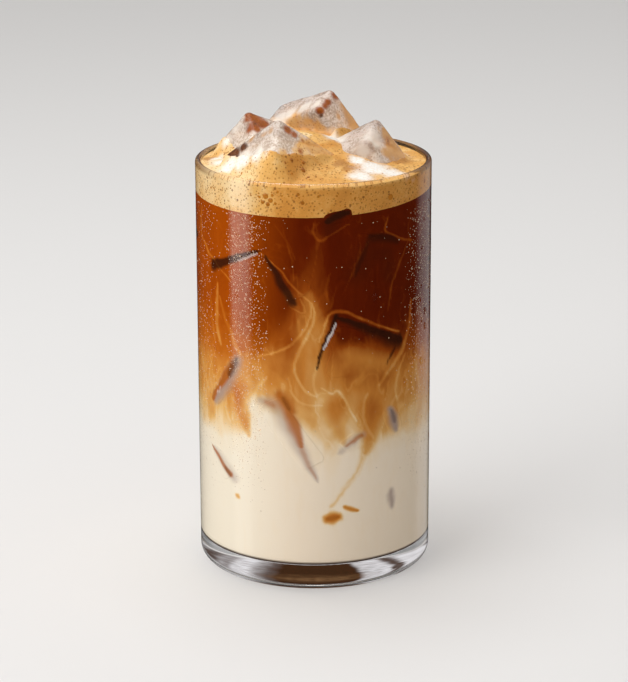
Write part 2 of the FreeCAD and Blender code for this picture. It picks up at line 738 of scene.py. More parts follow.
@dataclass(frozen=True)
class DrinkFinish:
    """Milk and coffee as they show at the glass, and the ice in them.

    Attributes:
        name: the material's name.
        gloss: how much the surface itself reflects.
        wisps: strength of the fine wisps.
        underglow: whether painted light glows under it, given off as emission.
    """

    name: str
    gloss: float
    wisps: float = 0.10
    underglow: bool = False

    DEEP = (
        (0.0, (0.082, 0.0065, 0.0005, 1.0)),
        (0.14, (0.118, 0.0115, 0.0007, 1.0)),
        (0.30, (0.300, 0.060, 0.005, 1.0)),
        (0.50, (0.560, 0.205, 0.034, 1.0)),
        (0.68, (0.690, 0.365, 0.112, 1.0)),
        (0.82, (0.800, 0.560, 0.300, 1.0)),
        (0.93, (0.860, 0.690, 0.480, 1.0)),
        (1.0, (0.880, 0.745, 0.580, 1.0)),
    )
    # LIT is the DEEP ramp lit from the side: painted light, mixed in by side_lit.
    LIT = (
        (0.0, (0.330, 0.052, 0.0014, 1.0)),
        (0.14, (0.410, 0.073, 0.0020, 1.0)),
        (0.30, (0.540, 0.140, 0.010, 1.0)),
        (0.50, (0.680, 0.285, 0.055, 1.0)),
        (0.68, (0.790, 0.470, 0.165, 1.0)),
        (0.82, (0.860, 0.660, 0.400, 1.0)),
        (0.93, (0.890, 0.780, 0.600, 1.0)),
        (1.0, (0.900, 0.815, 0.660, 1.0)),
    )
    DARK = (0.030, 0.0075, 0.003, 1.0)
    AMBER = (0.420, 0.115, 0.014, 1.0)
    LILAC = (0.370, 0.275, 0.240, 1.0)
    # GLINT is a painted highlight on ice.
    GLINT = (0.780, 0.700, 0.660, 1.0)

    def material(self, effects: Effects) -> bpy.types.Material:
        """The finish as a Blender material, which reads the painter's attributes.

        Args:
            effects: the shared effects.

        Returns:
            The material.
        """
        made, recipe, shader = finish_tree(self.name)
        milky = recipe.painted("milky").outputs["Fac"]
        marks_read = recipe.painted("marks")
        marks = recipe.split(marks_read.outputs["Color"])
        share = recipe.use(effects.wisps, Share=milky, Amount=self.wisps)["Share"]
        # painted light from the side: the lit ramp mixed in by side_lit
        side_lit = recipe.painted("side_lit").outputs["Fac"]
        colour = recipe.mixed(
            side_lit, recipe.ramp(share, self.DEEP), recipe.ramp(share, self.LIT)
        )
        colour = recipe.mixed(marks[2], colour, self.LILAC)
        colour = recipe.mixed(marks[1], colour, self.AMBER)
        colour = recipe.mixed(marks[0], colour, self.DARK)
        # painted highlights on the edges of ice
        colour = recipe.mixed(marks_read.outputs["Alpha"], colour, self.GLINT)
        recipe.feed(shader.inputs["Base Color"], colour)
        grain = recipe.noise(recipe.places(), 900.0)
        recipe.feed(shader.inputs["Roughness"], recipe.span(grain, 0.2, 0.8, 0.38, 0.55))
        shader.inputs["Specular IOR Level"].default_value = self.gloss
        recipe.feed(shader.inputs["Normal"], recipe.bump(grain, 0.05, 0.0002))
        # Painted light: what the thick base gathers, given off as glow from under the milk.
        if self.underglow:
            gathered = recipe.painted("underglow").outputs["Color"]
            recipe.feed(shader.inputs["Emission Color"], gathered)
            shader.inputs["Emission Strength"].default_value = 1.0
        return made


@dataclass(frozen=True)
class FoamFinish:
    """Coffee foam: tan with orange clouds, white where milk froth shows, pricked all over, and a lighter
    tan where light from the side and above is painted.

    Attributes:
        name: the material's name.
    """

    name: str

    TAN = (
        (0.15, (0.490, 0.175, 0.020, 1.0)),
        (0.42, (0.660, 0.285, 0.048, 1.0)),
        (0.62, (0.780, 0.430, 0.120, 1.0)),
        (0.85, (0.880, 0.640, 0.330, 1.0)),
    )
    WHITE = (0.930, 0.900, 0.850, 1.0)
    CREAM = (0.860, 0.780, 0.660, 1.0)
    BROWN = (0.400, 0.165, 0.035, 1.0)
    HOLE = (0.240, 0.080, 0.010, 1.0)
    RING = (0.380, 0.140, 0.018, 1.0)

    def material(self, effects: Effects) -> bpy.types.Material:
        """The finish as a Blender material, which reads the foam's painted attribute.

        Args:
            effects: the shared effects.

        Returns:
            The material.
        """
        made, recipe, shader = finish_tree(self.name)
        paint = recipe.split(recipe.painted("froth").outputs["Color"])
        places = recipe.places()
        cloud = recipe.noise(places, 95.0, detail=5.0, warp=0.6)
        grain = recipe.noise(places, 1500.0, detail=2.0)
        clouded = recipe.maths("ADD", recipe.mixed(0.22, cloud, grain), -0.12)
        # Painted light: the tan is lighter on the lit side and on top.
        lit = recipe.painted("froth").outputs["Alpha"]
        clouded = recipe.maths("ADD", clouded, recipe.maths("MULTIPLY", lit, 0.38))
        colour = recipe.ramp(clouded, self.TAN)
        colour = recipe.mixed(paint[1], colour, self.BROWN)
        white = recipe.mixed(recipe.span(grain, 0.35, 0.7), self.WHITE, self.CREAM)
        colour = recipe.mixed(paint[0], colour, white)
        fine = recipe.use(effects.froth, Places=places, Cells=1300.0, Size=0.58, Share=0.98)
        large = recipe.use(effects.froth, Places=places, Cells=760.0, Size=0.42, Share=0.6)
        fine_dots = recipe.maths("MULTIPLY", fine["Dots"], paint[2])
        large_dots = recipe.maths("MULTIPLY", large["Dots"], paint[2])
        colour = recipe.mixed(recipe.maths("MULTIPLY", fine_dots, 0.80), colour, self.RING)
        colour = recipe.mixed(recipe.maths("MULTIPLY", large_dots, 0.85), colour, self.HOLE)
        recipe.feed(shader.inputs["Base Color"], colour)
        pricked = recipe.maths("ADD", fine_dots, large_dots)
        height = recipe.maths("SUBTRACT", recipe.maths("MULTIPLY", grain, 0.5), pricked)
        recipe.feed(shader.inputs["Roughness"], recipe.span(grain, 0.3, 0.7, 0.45, 0.7))
        shader.inputs["Specular IOR Level"].default_value = 0.25
        recipe.feed(shader.inputs["Normal"], recipe.bump(height, 0.25, 0.0002))
        return made


@dataclass(frozen=True)
class IceFinish:
    """Ice with a frosted, speckled skin and coffee stains.

    Attributes:
        name: the material's name.
        clearness: the share of light that passes.
        roughness: how much it blurs what is behind.
    """

    name: str
    clearness: float
    roughness: float

    FROST = (0.800, 0.740, 0.710, 1.0)
    CLEAR = (0.450, 0.355, 0.300, 1.0)
    SPECK = (0.260, 0.170, 0.120, 1.0)
    TAN = (
        (0.20, (0.620, 0.250, 0.040, 1.0)),
        (0.50, (0.800, 0.450, 0.140, 1.0)),
        (0.80, (0.900, 0.650, 0.340, 1.0)),
    )
    DOT = (0.300, 0.110, 0.015, 1.0)
    WHITE = (0.960, 0.940, 0.900, 1.0)
    ORANGE = (0.270, 0.045, 0.001, 1.0)
    STAIN = (0.600, 0.300, 0.080, 1.0)
    DARK = (0.070, 0.015, 0.003, 1.0)

    def material(self, effects: Effects) -> bpy.types.Material:
        """The finish as a Blender material, which reads the ice's two painted attributes.

        Args:
            effects: the shared effects.

        Returns:
            The material.
        """
        made, recipe, shader = finish_tree(self.name)
        coat = recipe.painted("coat")
        tan, white, orange = (recipe.split(coat.outputs["Color"])[number] for number in range(3))
        dark = recipe.painted("dark").outputs["Fac"]
        places = recipe.places()
        cloud = recipe.noise(places, 170.0, detail=5.0, warp=0.8)
        grain = recipe.noise(places, 1500.0, detail=3.0)
        frosted = recipe.mixed(0.50, cloud, grain)
        colour = recipe.mixed(recipe.span(frosted, 0.41, 0.59), self.CLEAR, self.FROST)
        specks = recipe.use(effects.froth, Places=places, Cells=1150.0, Size=0.5, Share=0.75)
        colour = recipe.mixed(recipe.maths("MULTIPLY", specks["Dots"], 0.55), colour, self.SPECK)
        coated = recipe.ramp(cloud, self.TAN)
        dots = recipe.use(effects.froth, Places=places, Cells=1250.0, Size=0.52, Share=0.9)
        coated = recipe.mixed(recipe.maths("MULTIPLY", dots["Dots"], 0.75), coated, self.DOT)
        colour = recipe.mixed(tan, colour, coated)
        patchy = recipe.span(frosted, 0.35, 0.50, 0.60, 0.95)
        stained = recipe.maths("MULTIPLY", coat.outputs["Alpha"], patchy)
        colour = recipe.mixed(stained, colour, self.STAIN)
        # white froth, and painted highlights where the right cube's white patches lie
        colour = recipe.mixed(white, colour, self.WHITE)
        brewed = recipe.maths("MULTIPLY", orange, recipe.span(frosted, 0.34, 0.50, 0.90, 1.0))
        colour = recipe.mixed(brewed, colour, self.ORANGE)
        soaked = recipe.maths("MULTIPLY", dark, recipe.span(frosted, 0.34, 0.50, 0.85, 1.0))
        colour = recipe.mixed(soaked, colour, self.DARK)
        recipe.feed(shader.inputs["Base Color"], colour)
        rough = recipe.span(grain, 0.3, 0.7, self.roughness * 0.75, self.roughness * 1.3)
        recipe.feed(shader.inputs["Roughness"], rough)
        shader.inputs["IOR"].default_value = 1.31
        shader.inputs["Transmission Weight"].default_value = self.clearness
        height = recipe.maths("SUBTRACT", grain, recipe.maths("MULTIPLY", specks["Dots"], 0.4))
        recipe.feed(shader.inputs["Normal"], recipe.bump(height, 0.2, 0.0003))
        let_light_through(recipe, shader)
        return made


@dataclass(frozen=True)
class BubbleFinish:
    """The thin brown skin of a large bubble, which shows the coffee under it.

    Attributes:
        name: the material's name.
    """

    name: str

    SKIN = ((0.35, (0.520, 0.190, 0.022, 1.0)), (0.65, (0.340, 0.110, 0.012, 1.0)))

    def material(self) -> bpy.types.Material:
        """The finish as a Blender material: orange, with a darker cloud.

        Returns:
            The material.
        """
        made, recipe, shader = finish_tree(self.name)
        cloud = recipe.noise(recipe.places(), 420.0, detail=2.0)
        recipe.feed(shader.inputs["Base Color"], recipe.ramp(cloud, self.SKIN))
        recipe.feed(shader.inputs["Roughness"], recipe.span(cloud, 0.3, 0.7, 0.1, 0.2))
        shader.inputs["IOR"].default_value = 1.33
        return made


@dataclass(frozen=True)
class FloorFinish:
    """A plain pale studio floor.

    Attributes:
        name: the material's name.
        colour: the floor's colour.
    """

    name: str
    colour: tuple

    def material(self) -> bpy.types.Material:
        """The finish as a Blender material.

        Returns:
            The material.
        """
        made, _, shader = finish_tree(self.name)
        shader.inputs["Base Color"].default_value = self.colour
        shader.inputs["Roughness"].default_value = 0.9
        shader.inputs["Specular IOR Level"].default_value = 0.1
        return made


# ---------------------------------------------------------------- the painter


class Ink(Enum):
    """What a stroke in the drink is made of."""

    THREAD = "a light thread of milk"
    DARK = "ice that shows dark"
    AMBER = "ice that shows amber"
    LILAC = "milk shaded by ice behind it"
    # a painted highlight on an edge of ice
    GLINT = "a bright edge of ice"
    MILK = "more milk"
    COFFEE = "more coffee"


@dataclass(frozen=True)
class Stroke:
    """A stroke in the drink, where it meets the glass.

    Attributes:
        ink: what shows there.
        path: angle and height of its points, from end to end.
        widths: half its width at the start, the middle and the end.
        strength: how much of the ink shows, from 0 to 1.
        soft: how soft its left and its right edge are, seen along the path, as shares of the
            width.
    """

    ink: Ink
    path: tuple
    widths: tuple
    strength: float = 1.0
    soft: tuple = (0.5, 0.5)

    CORNER_CUTS = 3

    def route(self) -> np.ndarray:
        """The path with its corners cut, three times over, a quarter of each run at a time.

        Returns:
            Rows of angle and height.
        """
        points = np.array(self.path, float)
        for _ in range(self.CORNER_CUTS):
            early = 0.75 * points[:-1] + 0.25 * points[1:]
            late = 0.25 * points[:-1] + 0.75 * points[1:]
            cut = np.stack([early, late], axis=1).reshape(-1, 2)
            points = np.concatenate([points[:1], cut, points[-1:]])
        return points

    def cover(self, angle: np.ndarray, height: np.ndarray, degree: float) -> np.ndarray:
        """How much of the ink is at each place: 1 within the half width and 0 outside, through
        a smooth step as wide as the edge on that side is soft.

        Args:
            angle: angle of each place.
            height: height of each place.
            degree: how long one degree is on the wall.

        Returns:
            The share of the ink at each place.
        """
        route = self.route()
        share = np.zeros(angle.shape)
        margin = max(self.widths) * (1 + max(self.soft))
        middle = route[:, 0].mean()
        offset = nearest_turn(angle - middle)
        side = (offset > (route[:, 0] - middle).min() - margin / degree) & (
            offset < (route[:, 0] - middle).max() + margin / degree
        )
        level = (height > route[:, 1].min() - margin) & (height < route[:, 1].max() + margin)
        near = np.flatnonzero(side & level)
        if not len(near):
            return share
        line = np.stack([(route[:, 0] - middle) * degree, route[:, 1]], axis=-1)
        spot = np.stack([offset[near] * degree, height[near]], axis=-1)
        run = np.diff(line, axis=0)
        away = spot[:, None] - line[:-1]
        along = np.clip((away * run).sum(-1) / np.maximum((run * run).sum(-1), 1e-9), 0, 1)
        off = away - along[..., None] * run
        distance = np.hypot(off[..., 0], off[..., 1])
        best = distance.argmin(axis=1)
        rows = np.arange(len(near))
        part = (best + along[rows, best]) / len(run)
        half = np.interp(part, (0, 0.5, 1), self.widths)
        off, run = off[rows, best], run[best]
        left = run[:, 0] * off[:, 1] - run[:, 1] * off[:, 0] > 0
        soft = np.where(left, *self.soft)
        ratio = distance[rows, best] / half
        share[near] = self.strength * (1 - eased_step((ratio - 1) / soft, -1, 1))
        return share


class Painter:
    """Says what shows at each place where the drink meets the glass.

    Below one line round the glass the drink is milk, above a second one it is coffee, and
    between them the two are stirred together. Noise bends both lines into upright wisps, and
    strokes add threads of milk and the ice that shows through.
    """

    WHITE_LINE = (
        (-180, 50), (-160, 55), (-142, 47), (-120, 53), (-100, 46), (-86, 50),
        (-72.4, 49.8), (-60, 48.2), (-43.7, 48.2), (-35, 50), (-30.3, 60), (-16, 60),
        (-7.3, 54.9), (0.6, 52.0), (7.5, 46.4), (15.1, 53.5), (23, 50), (29.7, 44.8),
        (37.4, 51.0), (47.6, 50.1), (66.2, 47.4), (84, 47), (104, 54), (122, 46),
        (140, 52), (160, 45),
    )  # fmt: skip
    TAN_LINE = (
        (-180, 82), (-165, 74), (-150, 90), (-132, 84), (-115, 70), (-98, 79),
        (-73.8, 75.2), (-58.8, 76.2), (-43, 77.9), (-26.7, 78), (-12, 82.9), (-4, 96),
        (2.8, 94.5), (12.6, 75), (24, 73.5), (34.2, 72), (51.1, 74.5), (65.3, 76.5),
        (82, 72), (98, 88), (112, 80), (128, 68), (146, 92), (163, 75),
    )  # fmt: skip
    LINE_STEPS = 720
    LINE_SMOOTH = 9
    SHARE_PLACES = (-0.28, -0.05, 0.12, 0.45, 0.80, 1.05, 1.40, 1.8)
    SHARES = (1.0, 0.94, 0.74, 0.56, 0.46, 0.31, 0.17, 0.10)
    THREAD_GAIN = 0.42

    # Sizes of the noises, to the right, to the back and up.
    SWIRL = (11, 11, 13)
    SECOND_SWIRL = (10, 10, 12)
    WISP = (3.0, 3.0, 17)
    MARBLE = (5, 5, 12)
    FADE = (3.4, 3.4, 5)
    SWAY = 4.5
    RAGGED = 1.3

    # How many degrees swirls and wisps bend the lines, and how many millimetres they lift them.
    BENDS = (2.6, 0.8)
    LIFTS = (1.7, 1.1)

    # How much light from the side is painted into the drink's colour, and the angles where it starts and
    # stops.
    SIDE_LIGHT = 0.92
    LIGHT_STARTS = (-178, -110)
    LIGHT_STOPS = (-48, -2)

    def __init__(self, radius: float, strokes: list[Stroke], seed: int) -> None:
        """Keeps the strokes and smooths the two lines.

        Args:
            radius: the skin's distance from the axis.
            strokes: every stroke.
            seed: seed of the noise.
        """
        self.degree = math.radians(1) * radius
        self.strokes = strokes
        self.noise = Noise(seed)
        self.around = np.linspace(-180, 180, self.LINE_STEPS, endpoint=False)
        self.white = self.smoothed(self.WHITE_LINE)
        self.tan = self.smoothed(self.TAN_LINE)

    def smoothed(self, line: tuple) -> np.ndarray:
        """A line round the glass, each height being the mean of those a few degrees round it.

        Args:
            line: angle and height of its corners.

        Returns:
            A height for each angle.
        """
        angles, heights = np.array(line).T
        first = np.interp(self.around, angles, heights, period=TURN)
        reach = range(-self.LINE_SMOOTH, self.LINE_SMOOTH + 1)
        return np.mean([np.roll(first, step) for step in reach], axis=0)

    def paint(self, places: np.ndarray) -> dict[str, np.ndarray]:
        """What shows at each place.

        Args:
            places: rows of x, y and z.

        Returns:
            Attributes by name: milky is the share of milk, side_lit is how much painted light from the
                side is mixed into the drink's colour, and marks holds dark, amber, lilac and painted
                highlights on ice.
        """
        angle = np.degrees(np.arctan2(places[:, 0], -places[:, 1]))
        height = places[:, 2]
        swirl = self.noise.layered(places / self.SWIRL, 3)
        second = self.noise.layered(places / self.SECOND_SWIRL + 17.7, 3)
        wisp = self.noise.layered(places / self.WISP + 5.1, 2)
        bent = nearest_turn(angle + self.BENDS[0] * swirl + self.BENDS[1] * wisp)
        low = np.interp(bent, self.around, self.white, period=TURN)
        high = np.interp(bent, self.around, self.tan, period=TURN)
        lifted = height + self.LIFTS[0] * second + self.LIFTS[1] * wisp
        share = np.interp((lifted - low) / (high - low), self.SHARE_PLACES, self.SHARES)
        marbled = self.noise.layered(places / self.MARBLE + 0.5 * swirl[:, None] + 31.3, 3)
        veins = 1 - eased_step(np.abs(marbled), 0.0, 0.14)
        stirred = eased_step(share, 0.2, 0.42) * (1 - eased_step(share, 0.70, 0.95))
        share += stirred * (0.10 * marbled + 0.08 * veins)
        thin = 1 - eased_step(share, 0.15, 0.35)
        share += thin * (0.05 * veins + 0.03 * wisp)
        sway = self.noise.at(places / self.SWAY + 3.3)
        ragged = self.noise.layered(places / self.RAGGED + 9.1, 2)
        beside = angle + 0.8 * sway + 0.30 * ragged
        above = height + 0.4 * sway - 0.18 * ragged
        fading = 0.72 + 0.28 * self.noise.at(places / self.FADE + 23.9)
        covers = {ink: np.zeros(len(places)) for ink in Ink}
        for stroke in self.strokes:
            cover = stroke.cover(beside, above, self.degree)
            covers[stroke.ink] = np.maximum(covers[stroke.ink], cover)
        share += (1 - share) * covers[Ink.MILK]
        share *= 1 - covers[Ink.COFFEE]
        share += (self.THREAD_GAIN - 0.25 * share) * covers[Ink.THREAD] * fading
        share = np.clip(share, 0, 1)
        # Painted light from the side, strongest on the drink's left.
        glow = self.SIDE_LIGHT * eased_step(angle, *self.LIGHT_STARTS)
        glow *= 1 - eased_step(angle, *self.LIGHT_STOPS)
        seen = [covers[ink] for ink in (Ink.DARK, Ink.AMBER, Ink.LILAC, Ink.GLINT)]
        return {"milky": share, "side_lit": glow, "marks": np.stack(seen, axis=-1)}


# ---------------------------------------------------------------- the pieces


@dataclass
class Tumbler:
    """The glass, turned from one profile.

    Attributes:
        radius: outside radius.
        height: from the stand to the rim.
        wall: thickness of the wall.
        base: thickness of the base at its middle, from the stand to the floor.
        foot_round: radius of the foot's rounding.
        floor_round: radius of the rounding between floor and wall inside.
        ring_inside: radius where the ring that it stands on ends.
        dome: radius where the push-up is level.
        push_up: how far the underside is pushed up.
        around: points round each ring.
    """

    radius: float
    height: float
    wall: float = 2.0
    base: float = 8.6
    foot_round: float = 4.5
    floor_round: float = 2.5
    ring_inside: float = 30.0
    dome: float = 27.5
    push_up: float = 1.0
    around: int = 256

    # The band under the rim where painted shade darkens both sides, how high it is dark, and how far out.
    RIM_BAND = 2.2
    RIM_DARK = (2.0, 1.2)
    ASIDE = (0.72, 0.96)

    @property
    def bore(self) -> float:
        """The inside radius."""
        return self.radius - self.wall

    def inside(self, reach: float, top: float, steps: int) -> np.ndarray:
        """The profile of what fills the glass, from its floor's middle up to a height.

        Args:
            reach: how far it goes into the glass.
            top: the height where it ends.
            steps: how many pieces the round corner is cut into.

        Returns:
            Rows of distance from the axis and height.
        """
        corner = (self.bore - self.floor_round, self.base + self.floor_round)
        rounded = arc(corner, self.floor_round + reach, -90, 0, steps)
        start = [[0.0, self.base - reach]]
        end = [[self.bore + reach, top]]
        return np.concatenate([start, rounded, end])

    def profile(self) -> np.ndarray:
        """The glass's closed outline, from the floor's middle, over the rim, to the underside.

        Returns:
            Rows of distance from the axis and height.
        """
        rim = self.wall / 2
        foot = (self.radius - self.foot_round, self.foot_round)
        over = arc((self.bore + rim, self.height - rim), rim, 180, 0, 16)
        under = arc(foot, self.foot_round, 0, -90, 16)
        slope = eased_step(np.linspace(0, 1, 9), 0, 1)
        rise = np.stack(
            [np.linspace(self.ring_inside, self.dome, 9), self.push_up * slope], axis=-1
        )
        inside = self.inside(0.0, self.height - rim, 12)[:-1]
        below_rim = self.height - self.RIM_BAND
        up = np.array([[self.bore, below_rim]])
        down = np.array([[self.radius, below_rim]])
        return np.concatenate([inside, up, over, down, under, rise, [[0.0, self.push_up]]])

    def build(self, finish: ClearFinish) -> None:
        """Turns the profile round the axis: each ring is the profile's point at every angle.

        Args:
            finish: the glass's finish.
        """
        profile = self.profile()
        angle = np.linspace(0, TURN, self.around, endpoint=False)
        rings = wall_place(angle, profile[:, 1:], profile[:, :1])
        shell = Shell.turned(rings)
        # Painted shade: darker towards the rim at the left and right sides.
        aside = np.abs(shell.points[:, 0]) / self.radius
        low, full = self.RIM_DARK
        high = eased_step(shell.points[:, 2], self.height - low, self.height - full)
        shade = high * eased_step(aside, *self.ASIDE)
        made = shell.piece("tumbler", finish.material(), shade=shade)
        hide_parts("glass")


@dataclass
class Layers:
    """The skins of the milk and the coffee, which reach just into the glass's wall.

    Attributes:
        glass: the glass that holds them.
        painter: what shows at the wall.
        reach: how far a skin goes into the wall.
        milk_level: middle height of the milk's upper face.
        milk_wave: height of its waves.
        wave_across: length of the wave from left to right.
        wave_along: length of the wave that goes aslant.
        coffee_level: height of the coffee's upper face on the axis.
        foam_level: height of the foam at the wall.
        thins_right: how much higher the coffee reaches with each millimetre to the right.
        thins_back: how much higher it reaches with each millimetre to the back.
        around: points round each ring.
        cell: height of a grid cell.
        floor_rings: rings on the flat under the milk.
    """

    glass: Tumbler
    painter: Painter
    reach: float = SKIN_REACH
    milk_level: float = 52.6
    milk_wave: float = 3.0
    wave_across: float = 82.0
    wave_along: float = 100.0
    coffee_level: float = 126.0
    foam_level: float = 133.6
    thins_right: float = 0.024
    thins_back: float = 0.05
    around: int = 540
    cell: float = 0.44
    floor_rings: int = 44

    # Radius of the first ring on a wavy face, and where the spokes under the milk meet behind.
    INNER_RING = 18.0
    FAR_POINT = 52.0

    # Angle and brightness of the painted spokes of light, then the painted colours: brown, warm, bright
    # and the ring's.
    SPOKES = (
        (-40, 0.95), (-28.0, 0.95), (-27.2, 0.04), (-24.8, 0.06), (-24.2, 0.42), (-22.4, 0.32),
        (-21, 0.80), (-17.5, 0.85), (-15, 0.42), (-12, 0.10), (-9, 0.0), (11.0, 0.0),
        (12.2, 0.60), (15, 0.78), (19.4, 0.80), (19.9, 0.05), (22.2, 0.08), (22.8, 0.95), (40, 0.95),
    )  # fmt: skip
    DEEP = (0.045, 0.020, 0.008)
    POOL = (0.120, 0.066, 0.030)
    BRIGHT = (0.780, 0.770, 0.790)
    EDGE = (0.900, 0.880, 0.860)
    RING = (31.0, 32.6)

    @property
    def skin(self) -> float:
        """The skins' radius."""
        return self.glass.bore + self.reach

    def milk_face(self, x: np.ndarray, y: np.ndarray) -> np.ndarray:
        """How high the milk reaches: a level plus half of a cosine and half of a sine wave.

        Args:
            x: places to the right.
            y: places to the back.

        Returns:
            The heights.
        """
        across = np.cos(2 * np.pi * x / self.wave_across)
        along = np.sin(2 * np.pi * (x + y) / self.wave_along)
        return self.milk_level + self.milk_wave * (across + along) / 2

    def coffee_face(self, x: np.ndarray, y: np.ndarray) -> np.ndarray:
        """How high the coffee reaches: a level face that leans to the right and to the back."""
        return self.coffee_level + self.thins_right * x + self.thins_back * y

    def face(self, height_at: Callable, radii: np.ndarray) -> np.ndarray:
        """Rings of points on a face that is given by its height.

        Args:
            height_at: gives the height from x and y.
            radii: the rings' radii.

        Returns:
            Ring after ring of points.
        """
        angle = np.linspace(-180, 180, self.around, endpoint=False)
        rings = wall_place(angle, np.zeros((len(radii), 1)), radii[:, None])
        rings[..., 2] = height_at(rings[..., 0], rings[..., 1])
        return rings

    def wall(self, top: np.ndarray, bottom: np.ndarray) -> np.ndarray:
        """Rings down the wall between two heights for each angle, in even steps.

        Args:
            top: ring of points where the wall starts.
            bottom: ring of points where it ends.

        Returns:
            Ring after ring of points, without the first.
        """
        tall = (top[:, 2] - bottom[:, 2]).max()
        part = np.linspace(0, 1, math.ceil(tall / self.cell) + 1)[1:, None, None]
        return top + part * (bottom - top)

    def shade_below(self, places: np.ndarray) -> np.ndarray:
        """The shade under the milk and along its lower edge.

        Args:
            places: rows of x, y and z.

        Returns:
            Marks for each place: dark, amber, lilac and painted highlight.
        """
        base = self.glass.base
        dark = 1 - eased_step(places[:, 2], base + 0.7, base + 1.5)
        return np.outer(dark, (1, 0, 0, 0))

    def glow_below(self, places: np.ndarray) -> np.ndarray:
        """Painted light and shade on the flat under the milk, given off as glow, for the light that the
        thick base gathers: bright and brown spokes that meet at a far point, a warm pool at the near
        side, and a ring.

        Args:
            places: rows of x, y and z.

        Returns:
            A colour for each place.
        """
        x, y, z = places.T
        waver = self.painter.noise.layered(places / 4.0, 3)
        fine = self.painter.noise.layered(places / 1.1 + 4.4, 2)
        spoke = np.degrees(np.arctan2(x, self.FAR_POINT - y)) + 0.6 * waver
        turns, lights = np.array(self.SPOKES).T
        light = np.interp(spoke, turns, lights) * (1 + 0.35 * fine)
        pool = 1 - eased_step(y + 2.0 * waver, -5, 6)
        brown = np.array(self.DEEP) + (pool * (0.8 + 0.5 * fine))[:, None] * np.array(self.POOL)
        light = np.clip(light, 0, 1)[:, None]
        ring = eased_step(np.hypot(x, y) + 0.5 * waver, *self.RING)[:, None]
        colour = brown * (1 - light) + light * np.array(self.BRIGHT)
        colour = colour * (1 - ring) + ring * (0.75 + 0.35 * fine[:, None]) * np.array(self.EDGE)
        below = (1 - eased_step(z, self.glass.base + 0.1, self.glass.base + 0.3))[:, None]
        return np.concatenate([colour * below, np.ones((len(x), 1))], axis=-1)

    def build_milk(self, finish: DrinkFinish, effects: Effects) -> None:
        """The milk: its wavy face, the wall, the round corner and the floor.

        Args:
            finish: its finish.
            effects: the shared effects.
        """
        face = self.face(self.milk_face, np.array([0.0, self.INNER_RING, self.skin]))
        under = self.glass.inside(self.reach, 0.0, 8)[:-1][::-1]
        level = np.linspace(under[-2, 0], 0.0, self.floor_rings + 1)[1:]
        flat = np.stack([level, np.full(level.shape, under[-1, 1])], axis=-1)
        under = np.concatenate([under[:-1], flat])
        angle = np.linspace(-180, 180, self.around, endpoint=False)
        floor = wall_place(angle, under[:, 1:], under[:, :1])
        rings = np.concatenate([face, self.wall(face[-1], floor[0]), floor[1:]])
        shell = Shell.turned(rings)
        paint = self.painter.paint(shell.points)
        paint["marks"] = np.maximum(paint["marks"], self.shade_below(shell.points))
        paint["underglow"] = self.glow_below(shell.points)
        made = shell.piece("milk_layer", finish.material(effects), **paint)
        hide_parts("milk")

    def build_coffee(self, finish: DrinkFinish, effects: Effects) -> None:
        """The coffee: the wall between its upper face and the milk's.

        Args:
            finish: its finish.
            effects: the shared effects.
        """
        radii = np.array([0.0, self.INNER_RING, self.skin])
        upper = self.face(self.coffee_face, radii)
        lower = self.face(self.milk_face, radii)
        rings = np.concatenate([upper, self.wall(upper[-1], lower[-1]), lower[1::-1]])
        shell = Shell.turned(rings)
        material = finish.material(effects)
        made = shell.piece("coffee_layer", material, **self.painter.paint(shell.points))
        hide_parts("coffee")


@dataclass(frozen=True)
class Cube:
    """One rounded block of ice.

    Attributes:
        size: length, width and height.
        middle: x, y and z of its middle.
        turn: yaw, pitch and roll in degrees.
        rounding: radius of its edges.
    """

    size: tuple
    middle: tuple
    turn: tuple
    rounding: float = 2.2

    DESCENTS = 60
    NEAR_ENOUGH = 0.05
    NOWHERE = -1000.0

    def into(self, places: np.ndarray) -> np.ndarray:
        """Places in the cube's own directions, from its middle."""
        return (places - np.array(self.middle)) @ turning(*self.turn)

    def out_of(self, places: np.ndarray) -> np.ndarray:
        """Places in the glass's directions, from places in the cube's own."""
        return places @ turning(*self.turn).T + np.array(self.middle)

    def distance(self, places: np.ndarray) -> np.ndarray:
        """Distance from the cube's surface: that of the smaller box, less the rounding.

        Args:
            places: rows of x, y and z.

        Returns:
            A distance for each place, negative inside.
        """
        beyond = np.abs(self.into(places)) - (np.array(self.size) / 2 - self.rounding)
        outside = np.linalg.norm(np.maximum(beyond, 0), axis=-1)
        return outside + np.minimum(beyond.max(axis=-1), 0) - self.rounding

    def top(self, x: np.ndarray, y: np.ndarray, start: float) -> np.ndarray:
        """The height of the cube's upper side, found by going down by the distance still left.

        Args:
            x: places to the right.
            y: places to the back.
            start: a height above the cube.

        Returns:
            The heights, or one far below where there is no cube.
        """
        height = np.full(x.shape, start)
        for _ in range(self.DESCENTS):
            height -= np.maximum(self.distance(np.stack([x, y, height], axis=-1)), 0)
        missed = self.distance(np.stack([x, y, height], axis=-1)) > self.NEAR_ENOUGH
        return np.where(missed, self.NOWHERE, height)


@dataclass(frozen=True)
class Coat:
    """Where foam lies on an ice cube: below a sloping line.

    Attributes:
        line: height of the line over the cube's middle.
        right: how much it rises with each millimetre to the right.
        back: how much it rises with each millimetre to the back.
        thick: the coat's thickness.
    """

    line: float
    right: float = 0.0
    back: float = 0.0
    thick: float = 0.7


class Tone(Enum):
    """What lies on the foam and on the ice that stands out of it."""

    TAN = "tan foam on ice"
    # White milk froth, and in two patches on the right cube a painted highlight.
    WHITE = "white milk froth"
    ORANGE = "orange coffee on ice"
    STAIN = "a light brown stain"
    DARK = "dark brown coffee"
    CLEAR = "ice with nothing on it"


